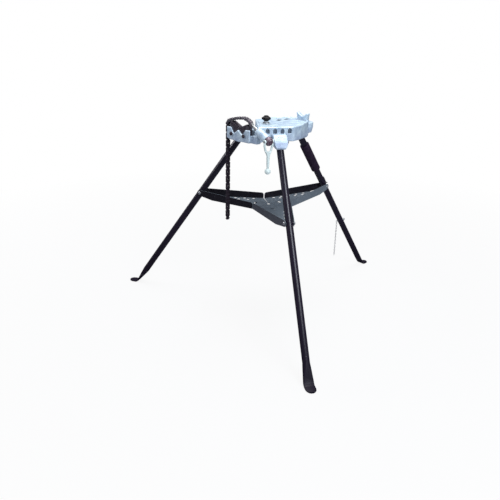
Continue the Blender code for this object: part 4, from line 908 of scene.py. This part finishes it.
knob_outline = in_millimetres(
    (0, 0), (9.0, 0), (9.6, 0.8), (10.4, 2.6), (13.6, 4.4), (17.4, 6.2), (18.9, 8.4), (19.0, 11.0),
    (18.2, 13.2), (15.4, 15.6), (11.8, 17.6), (9.8, 19.6), (8.8, 21.4), (6.4, 22.2), (3.0, 22.35), (0, 22.35)
)
knob = lathe("moulded_knob", knob_outline, axis_frame("brace_turn"), KNOB_SIDES, finger_grips)
stand_in(knob, "brace_knob")

cap_outline = in_millimetres(
    (6.9, 9.1), (12.6, 9.1), (13.1, 9.6), (13.1, 11.0), (12.3, 11.9), (9.0, 12.2), (8.2, 11.8), (4.4, 11.9),
    (3.4, 12.3), (1.8, 12.5), (0.3, 12.5), (0.3, 10.2), (6.9, 10.2)
)
cap = lathe("hub_cap", cap_outline, axis_frame("crank_turn"), CAP_SIDES)
paint(cap, "hub_brown")
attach(cap, "crank")
print("knob", len(knob.data.polygons), "faces, cap", len(cap.data.polygons), "faces")

# %% [markdown]
# ### The carrying grip
#
# A rubber sleeve on the rear leg, with two collars and shallow ribs. An array of rings could make the ribs,
# but a few more points of the outline do it, and the second collar is the first one mirrored.

# %% Carrying grip
GRIP_START = 0.0715
GRIP_LENGTH = 0.1505
GRIP_BORE = 14.6
GRIP_SIDES = 40
RIB_COUNT = 11
PLAIN_END = 22.0
collar = [
    (GRIP_BORE, 0), (18.2, 0), (19.6, 0.5), (20.4, 1.6), (20.4, 13.0), (20.1, 13.6), (19.2, 14.4),
    (19.2, 15.6), (19.9, 16.4), (20.2, 18.0)
]
length = GRIP_LENGTH * 1000
ribs = []
for rib in range(RIB_COUNT):
    start = PLAIN_END + rib * (length - PLAIN_END * 2) / RIB_COUNT
    ribs += [(20.25, start), (19.75, start + 1.2), (20.3, start + 2.4)]
mirrored = [(radius, length - height) for radius, height in reversed(collar)]
grip_outline = in_millimetres(*collar, *ribs, *mirrored)
grip_place = LEG_FRAMES["rear"] @ Matrix.Translation((0, 0, GRIP_START))
grip = lathe("ribbed_grip", grip_outline, grip_place, GRIP_SIDES)
stand_in(grip, "carry_grip")
print("grip with", RIB_COUNT, "ribs and", len(grip.data.polygons), "faces")

# %% [markdown]
# ## Recipes in Geometry Nodes
#
# The chain repeats two plates and a pin. A loop could copy them, but this is what Geometry Nodes are for:
# seed points say where each link goes, and one tree grows a link on all of them. These first methods make
# and move its shapes.

# %% A Geometry Nodes tree under construction
class Shapes(Graph):
    def circle(self, sides, radius=1.0):
        return self.node("GeometryNodeCurvePrimitiveCircle", None, {"Resolution": sides, "Radius": radius})

    def ring(self, sides, place_of):
        """A circle whose points move to where a function of their X and Y says."""
        place = self.node("GeometryNodeInputPosition")
        spot = place_of(self.part(place, "X"), self.part(place, "Y"))
        inputs = {"Geometry": self.circle(sides), "Position": spot}
        return self.node("GeometryNodeSetPosition", None, inputs)

    def vector(self, x=0.0, y=0.0, z=0.0):
        return self.node("ShaderNodeCombineXYZ", None, {"X": x, "Y": y, "Z": z})

    def extruded(self, mesh, by, faces=None):
        """Faces pulled out of a mesh, and a mask of their new tops."""
        inputs = {"Mesh": mesh, "Offset Scale": by}
        if faces is not None:
            inputs["Selection"] = faces
        made = self.node("GeometryNodeExtrudeMesh", None, inputs)
        return made, self.also(made, "Top")

    def shrunk(self, mesh, faces, scale):
        inputs = {"Geometry": mesh, "Selection": faces, "Scale": scale}
        return self.node("GeometryNodeScaleElements", None, inputs)

    def moved(self, shape, by=None, turned=(0.0, 0.0, 0.0), scaled=(1.0, 1.0, 1.0)):
        inputs = {"Geometry": shape, "Rotation": turned, "Scale": scaled}
        if by is not None:
            inputs["Translation"] = by
        return self.node("GeometryNodeTransform", None, inputs)

    def joined(self, *shapes):
        made = self.tree.nodes.new("GeometryNodeJoinGeometry")
        for shape in shapes:
            self.tree.links.new(shape.socket, made.inputs[0])
        return Socket(self, made.outputs[0])


print("shapes ready")

# %% [markdown]
# ### From shapes to a finished tree
#
# A recipe is a tree with named sizes. Each shape is planted on the seeds of its own kind. Instances are
# only shown, so the last steps turn them into real geometry and set the finish.

# %% A recipe
class Recipe(Shapes):
    def __init__(self, name, sizes):
        super().__init__(bpy.data.node_groups.new(name, "GeometryNodeTree"))
        entries = {"Geometry": "Geometry", **{size: "Float" for size in sizes}, "Finish": "Material"}
        for entry, kind in entries.items():
            self.tree.interface.new_socket(entry, in_out="INPUT", socket_type="NodeSocket" + kind)
        self.tree.interface.new_socket("Geometry", in_out="OUTPUT", socket_type="NodeSocketGeometry")
        self.entry = self.tree.nodes.new("NodeGroupInput")
        self.seeds = self.given("Geometry")

    def given(self, name):
        return Socket(self, self.entry.outputs[name])

    def stored(self, name, kind):
        """A value that each seed point carries."""
        return self.node("GeometryNodeInputNamedAttribute", {"data_type": kind}, {"Name": name})

    def planted(self, shape, kind):
        """The shape on every seed point of one kind, turned as the point says."""
        settings = {"data_type": "INT", "operation": "EQUAL"}
        chosen = self.node("FunctionNodeCompare", settings, {2: self.stored("kind", "INT"), 3: kind})
        turn = self.node("FunctionNodeEulerToRotation", None, {0: self.stored("turn", "FLOAT_VECTOR")})
        inputs = {"Points": self.seeds, "Selection": chosen, "Instance": shape, "Rotation": turn}
        return self.node("GeometryNodeInstanceOnPoints", None, inputs)

    def finish(self, *shapes):
        real = self.node("GeometryNodeRealizeInstances", None, {0: self.joined(*shapes)})
        inputs = {"Geometry": real, "Material": self.given("Finish")}
        done = self.node("GeometryNodeSetMaterial", None, inputs)
        leave = self.tree.nodes.new("NodeGroupOutput")
        self.tree.links.new(done.socket, leave.inputs["Geometry"])
        return self.tree


print("recipe class ready")

# %% [markdown]
# ### Seeds, and growing them
#
# The seeds are a mesh of loose points that carry a turn and a kind. `grow` hangs the tree on it as a
# modifier, fills in the sizes and the finish, applies it, and puts the result in the node's place.

# %% Seeds
def seed_points(name, seeds):
    """A mesh of loose points. Each seed is a place, a turn as three angles and a kind."""
    mesh = bpy.data.meshes.new(name)
    mesh.from_pydata([seed[0] for seed in seeds], [], [])
    # A new attribute moves the older ones in memory, so each is filled before the next is made
    turns = mesh.attributes.new("turn", "FLOAT_VECTOR", "POINT")
    for index, seed in enumerate(seeds):
        turns.data[index].vector = seed[1]
    kinds = mesh.attributes.new("kind", "INT", "POINT")
    for index, seed in enumerate(seeds):
        kinds.data[index].value = seed[2]
    return new_object(name, mesh)


def grow(name, seeds, tree, sizes, finish, degrees=SMOOTH_DEGREES):
    """Runs a recipe on seeds, and puts the plain mesh that it leaves in the node's place."""
    made = seed_points(name + "_links", seeds)
    modifier = made.modifiers.new("recipe", "NODES")
    modifier.node_group = tree
    given = {**sizes, "Finish": FINISHES[finish]}
    for item in tree.interface.items_tree:
        if item.name in given:
            modifier[item.identifier] = given[item.name]
    settle(made)
    shade(made, degrees)
    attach(made, BODY_OF[name])
    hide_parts(name)
    print(name, len(seeds), "seeds,", len(made.data.polygons), "faces")


print("seeds ready")

# %% [markdown]
# ## The chain's links
#
# A leaf chain has outer and inner plates in turn, each a figure of eight. Two discs and a bar would show
# their joins, so a circle of points is drawn out and pinched at its waist. Half a plate is extruded and
# chamfered, and then mirrored.

# %% A plate
LINK_SIZES = {
    "Pitch": 0.0147,
    "Height": 0.0135,
    "Plate": 0.0022,
    "Middle": 0.0104,
    "Gap": 0.0003,
    "Pin": 0.0065,
    "Proud": 0.0016,
}
PLATE_SIDES = 28
SEAM_GAP = 1e-5
END_SQUARENESS = 0.80
SIDE_SQUARENESS = 0.62
WAIST_REACH = 0.55
WAIST_DEPTH = 0.24
CHAMFER_SHARE = 0.16
CHAMFERED_SCALE = 0.93


def plate_shape(recipe, thickness, length_share=1.0, height_share=1.0):
    """A figure-of-eight plate that lies in the YZ plane, centred."""
    half_length = (recipe.given("Pitch") + recipe.given("Height") * length_share) * 0.5
    half_height = recipe.given("Height") * height_share * 0.5

    def outline(along, across):
        waist = (1 - (along / WAIST_REACH) ** 2.0).clipped() * WAIST_DEPTH
        x = along.signed_power(END_SQUARENESS) * half_length
        y = across.signed_power(SIDE_SQUARENESS) * half_height * (1 - waist)
        return recipe.vector(x, y)

    ring = recipe.ring(PLATE_SIDES, outline)
    face = recipe.node("GeometryNodeFillCurve", {"mode": "NGONS"}, {"Curve": ring})
    chamfer = thickness * CHAMFER_SHARE
    side, top = recipe.extruded(face, thickness * 0.5 - chamfer)
    rim, top = recipe.extruded(side, chamfer, top)
    half = recipe.shrunk(rim, top, CHAMFERED_SCALE)
    other = recipe.node("GeometryNodeFlipFaces", None, {0: recipe.moved(half, scaled=(1.0, 1.0, -1.0))})
    inputs = {0: recipe.joined(half, other), "Distance": SEAM_GAP}
    whole = recipe.node("GeometryNodeMergeByDistance", None, inputs)
    return recipe.moved(whole, turned=(math.pi / 2, 0.0, math.pi / 2))


print("plates", LINK_SIZES["Height"] * 1000, "mm high")

# %% [markdown]
# ### The pin
#
# A pin is a short cylinder with its two ends hammered over. Spheres would be rounder than a hammer leaves
# them, so one more extrusion with a smaller top gives a flat dome.

# %% A pin
PIN_SIDES = 14
DOME_SCALE = 0.62


def pin_shape(recipe):
    """A pin along X with both of its ends hammered over."""
    reach = recipe.given("Middle") * 0.5 + recipe.given("Gap") + recipe.given("Plate")
    proud = recipe.given("Proud")
    inputs = {"Vertices": PIN_SIDES, "Radius": recipe.given("Pin") * 0.5, "Depth": (reach + proud * 0.5) * 2}
    body = recipe.node("GeometryNodeMeshCylinder", None, inputs)
    inputs = {0: recipe.also(body, "Top"), 1: recipe.also(body, "Bottom")}
    ends = recipe.node("FunctionNodeBooleanMath", {"operation": "OR"}, inputs)
    dome, top = recipe.extruded(body, proud * 0.5, ends)
    return recipe.moved(recipe.shrunk(dome, top, DOME_SCALE), turned=(0.0, math.pi / 2, 0.0))


print("pins", LINK_SIZES["Pin"] * 1000, "mm thick")

# %% [markdown]
# ### The link
#
# Between two pins is a pair of outer plates or a stack of four inner ones, a little shorter and lower, so
# that the outer ones show their shape. Kind 0 of seed grows a pin, 1 a pair and 2 a stack.

# %% The link recipe
INNER_PLATES = 4
INNER_THICKNESS_SHARE = 0.24
INNER_STEP_SHARE = 0.26
INNER_LENGTH_SHARE = 0.97
INNER_HEIGHT_SHARE = 0.80


def link_recipe():
    recipe = Recipe("link recipe", LINK_SIZES)
    outer = plate_shape(recipe, recipe.given("Plate"))
    thickness = recipe.given("Middle") * INNER_THICKNESS_SHARE
    inner = plate_shape(recipe, thickness, INNER_LENGTH_SHARE, INNER_HEIGHT_SHARE)
    aside = recipe.given("Middle") * 0.5 + recipe.given("Gap") + recipe.given("Plate") * 0.5
    pair = recipe.joined(*[recipe.moved(outer, recipe.vector(aside * side)) for side in (1.0, -1.0)])
    step = recipe.given("Middle") * INNER_STEP_SHARE
    places = [place - (INNER_PLATES - 1) / 2 for place in range(INNER_PLATES)]
    stack = recipe.joined(*[recipe.moved(inner, recipe.vector(step * place)) for place in places])
    pins = recipe.planted(pin_shape(recipe), 0)
    return recipe.finish(pins, recipe.planted(pair, 1), recipe.planted(stack, 2))


LINK_TREE = link_recipe()
print("link recipe with", len(LINK_TREE.nodes), "nodes")

# %% [markdown]
# ## The chain's route
#
# The chain lies over the jaw in an arc and hangs down behind it. A Curve modifier would bend its stiff
# plates too. So we walk along the route in steps of one pitch, and find the end of each step by halving.

# %% Walk the route
PITCH = LINK_SIZES["Pitch"]
HALVINGS = 40


def walk(route, count):
    """Points one pitch apart along straight runs, and straight down from the last of them."""
    points = [route[0]]
    route = route + [route[-1] - Vector((0, PITCH * count))]
    leg = 0
    for _ in range(count):
        here = points[-1]
        while (route[leg + 1] - here).length < PITCH:
            leg += 1
        low, high = 0.0, 1.0
        for _ in range(HALVINGS):
            middle = (low + high) / 2
            if (route[leg].lerp(route[leg + 1], middle) - here).length < PITCH:
                low = middle
            else:
                high = middle
        points.append(route[leg].lerp(route[leg + 1], high))
    return points


print("steps of", PITCH * 1000, "mm")

# %% [markdown]
# ### One run of the chain
#
# The model moves the chain as four stiff runs, so its links are grown run by run. A run owns the pin that
# it starts with, and only the last one also ends with a pin.

# %% A run of links
CHAIN_ASIDE = 0.190
CHAIN_X = TRIPOD_AXIS_X - CHAIN_ASIDE


def chain_seeds(points, first_outer, last_pin):
    """Pins at the points, and outer and inner plates in turn between them."""
    pins = points if last_pin else points[:-1]
    seeds = [((CHAIN_X, *point), (0, 0, 0), 0) for point in pins]
    for step, (here, after) in enumerate(zip(points, points[1:])):
        middle = (here + after) / 2
        lean = math.atan2(after.y - here.y, after.x - here.x)
        outer = (step % 2 == 0) == first_outer
        seeds.append(((CHAIN_X, *middle), (lean, 0, 0), 1 if outer else 2))
    return seeds


print("seeds of a run ready")

# %% [markdown]
# ### The arc and the three hanging runs
#
# The arc is written as shares of its span and its rise, so that its size can be set by the vise, and slack
# lets its middle sink towards the jaw. Outer and inner plates take turns all the way.

# %% The chain
ANCHOR = Vector((-0.087, 0.845))
ARC_SPAN = 0.140
ARC_RISE = 0.0285
ARC_SETTLE = 0.0075
SETTLE_LEAN = 0.65
ARC_PITCHES = 11
RUN_PITCHES = 9
ROUTE_SHARES = (
    (0, 0), (0.05, 0.40), (0.13, 0.74), (0.23, 0.94), (0.34, 1.0), (0.55, 0.84), (0.78, 0.48), (0.93, 0.16),
    (1.0, -0.28)
)


def settled(point):
    """The point of the arc as it lies after the links have sunk."""
    share = share_of(point.x, ANCHOR.x, ARC_SPAN)
    return point - Vector((0, ARC_SETTLE * math.sin(math.pi * share ** SETTLE_LEAN)))


route = [ANCHOR + Vector((ARC_SPAN * along, ARC_RISE * up)) for along, up in ROUTE_SHARES]
points = walk(route, ARC_PITCHES)
seeds = chain_seeds([settled(point) for point in points], first_outer=True, last_pin=False)
# The arc is worn, and painted lighter as a highlight
grow("chain_arc", seeds, LINK_TREE, LINK_SIZES, "worn_chain")
done = ARC_PITCHES
for number in (1, 2, 3):
    points = [points[-1] - Vector((0, PITCH * step)) for step in range(RUN_PITCHES + 1)]
    seeds = chain_seeds(points, first_outer=done % 2 == 0, last_pin=number == 3)
    grow(f"chain_run_{number}", seeds, LINK_TREE, LINK_SIZES, "oiled_chain")
    done += RUN_PITCHES

# %% [markdown]
# ## The safety chain
#
# The thin chain under the eye is welded links, each turned a quarter against the last. A stretched torus
# would have a stretched wire, so a round wire is swept along a stretched ring.

# %% The safety chain
WIRE_SIZES = {"Long": 0.0117, "Wide": 0.0066, "Wire": 0.0016}
WIRE_PITCH = 0.0085
WIRE_SMOOTH_DEGREES = 60
WIRE_RING_SIDES = 22
WIRE_SIDES = 8
WIDE_SQUARENESS = 0.75
LONG_SQUARENESS = 0.72


def wire_recipe():
    recipe = Recipe("wire recipe", WIRE_SIZES)
    half_wide = (recipe.given("Wide") - recipe.given("Wire")) * 0.5
    half_long = (recipe.given("Long") - recipe.given("Wire")) * 0.5

    def outline(along, across):
        x = across.signed_power(WIDE_SQUARENESS) * half_wide
        return recipe.vector(x, 0.0, along.signed_power(LONG_SQUARENESS) * half_long)

    path = recipe.ring(WIRE_RING_SIDES, outline)
    section = recipe.circle(WIRE_SIDES, WIRE_SIZES["Wire"] / 2)
    link = recipe.node("GeometryNodeCurveToMesh", None, {"Curve": path, "Profile Curve": section})
    return recipe.finish(recipe.planted(link, 0))


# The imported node's box says how long the chain is, and so how many links it has
chain_low, chain_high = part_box("safety_chain")
wire_x = (chain_low[0] + chain_high[0]) / 2
wire_top = chain_high[2] - WIRE_SIZES["Long"] / 2
wire_count = int((chain_high[2] - chain_low[2] - WIRE_SIZES["Long"]) / WIRE_PITCH) + 1
wire_seeds = []
for step in range(wire_count):
    quarter = (0, 0, math.pi / 4 + math.pi / 2 * (step % 2))
    wire_seeds.append(((wire_x, 0, wire_top - WIRE_PITCH * step), quarter, 0))
grow("safety_chain", wire_seeds, wire_recipe(), WIRE_SIZES, "bright_zinc", WIRE_SMOOTH_DEGREES)

# %% [markdown]
# ## Floor and light
#
# The photograph is a cut-out on white. A floor that only glows would lose the shadow, so a glow that only
# the camera sees is mixed with matt grey, which takes it. Further out the glow takes over. Shiny things see
# a dark floor, because black enamel needs something dark to mirror.

# %% Floor
FLOOR_HALF_WIDTH = 14.0
FLOOR_HEIGHT = -0.0005
GLOW_NEAR = 0.90
GLOW_REACH = 1.7
GLOW_SOFTNESS = 1.8


class Light(Graph):
    def shader(self, kind, colour, **more):
        return self.node("ShaderNode" + kind, None, {"Color": (*colour, 1.0), **more})

    def mixed(self, mask, low, high):
        """One shader where the mask is 0 and the other where it is 1."""
        return self.node("ShaderNodeMixShader", None, {0: mask, 1: low, 2: high})


def white_floor():
    material = bpy.data.materials.new("studio_floor")
    material.use_nodes = True
    graph = Light(material.node_tree)
    graph.tree.nodes.clear()
    matt = graph.shader("BsdfDiffuse", (0.50, 0.51, 0.53))
    dark = graph.shader("BsdfDiffuse", (0.10, 0.10, 0.13))
    glow = graph.shader("Emission", (1.0, 1.0, 1.0), Strength=1.0)
    seen = graph.node("ShaderNodeLightPath", out="Is Camera Ray")
    ground = graph.mixed(graph.also(seen, "Is Glossy Ray"), matt, dark)
    place = graph.node("ShaderNodeTexCoord", out="Object")
    reach = graph.node("ShaderNodeVectorMath", {"operation": "LENGTH"}, {0: place}, "Value")
    share = seen * (reach.above(GLOW_REACH, GLOW_SOFTNESS) * (1 - GLOW_NEAR) + GLOW_NEAR)
    graph.node("ShaderNodeOutputMaterial", None, {"Surface": graph.mixed(share, ground, glow)})
    return material


floor_mesh = bpy.data.meshes.new("studio_floor")
corners = [(-1, -1), (1, -1), (1, 1), (-1, 1)]
places = [(FLOOR_HALF_WIDTH * x, FLOOR_HALF_WIDTH * y, FLOOR_HEIGHT) for x, y in corners]
floor_mesh.from_pydata(places, [], [(0, 1, 2, 3)])
floor_mesh.materials.append(white_floor())
floor = new_object("studio_floor", floor_mesh)
print("floor", FLOOR_HALF_WIDTH * 2, "m wide")

# %% [markdown]
# ### The world
#
# The world is white for the camera, a soft grey where it only lights the object, and darker still in
# mirrors. One even white would leave black enamel grey.

# %% World
WORLD_LIGHT = 0.42
WORLD_MIRRORED = 0.16
world = bpy.data.worlds.new("studio_world")
world.use_nodes = True
bpy.context.scene.world = world
sky = Light(world.node_tree)
sky.tree.nodes.clear()
seen = sky.node("ShaderNodeLightPath", out="Is Camera Ray")
white = sky.shader("Background", (1.0, 1.0, 1.0), Strength=1.0)
soft = sky.shader("Background", (0.90, 0.95, 1.0), Strength=WORLD_LIGHT)
dim = sky.shader("Background", (0.80, 0.86, 1.0), Strength=WORLD_MIRRORED)
unseen = sky.mixed(sky.also(seen, "Is Glossy Ray"), soft, dim)
sky.node("ShaderNodeOutputWorld", None, {"Surface": sky.mixed(seen, unseen, white)})
print("world light", WORLD_LIGHT, "and", WORLD_MIRRORED, "in mirrors")

# %% [markdown]
# ### Lamps
#
# Three soft boxes: a tall one to the right of the camera, which draws the bright line down each tube, a big
# one overhead, and a small one from behind on the left. Point lamps would show in a tube as dots.

# %% Lamps
STAND_MIDDLE = (0.0, 0.0, 0.5)


def soft_box(name, place, width, height, power, colour=(1.0, 1.0, 1.0)):
    lamp = bpy.data.lights.new(name, "AREA")
    lamp.shape = "RECTANGLE"
    lamp.size = width
    lamp.size_y = height
    lamp.energy = power
    lamp.color = colour
    made = new_object(name, lamp)
    made.location = place
    made.rotation_euler = (Vector(STAND_MIDDLE) - Vector(place)).to_track_quat("-Z", "Y").to_euler()


soft_box("key_box", (-0.9, -2.9, 2.6), width=1.5, height=2.2, power=84, colour=(0.86, 0.91, 1.0))
soft_box("top_box", (0.1, 0.2, 3.4), width=1.8, height=1.8, power=84)
soft_box("rear_box", (-1.8, 2.4, 1.9), width=0.8, height=1.2, power=22, colour=(0.94, 0.92, 1.0))
print("three soft boxes")

# %% [markdown]
# ## Finish
#
# The view transform is Standard, so a colour renders as it was written.

# %% The view transform
bpy.context.scene.view_settings.view_transform = "Standard"
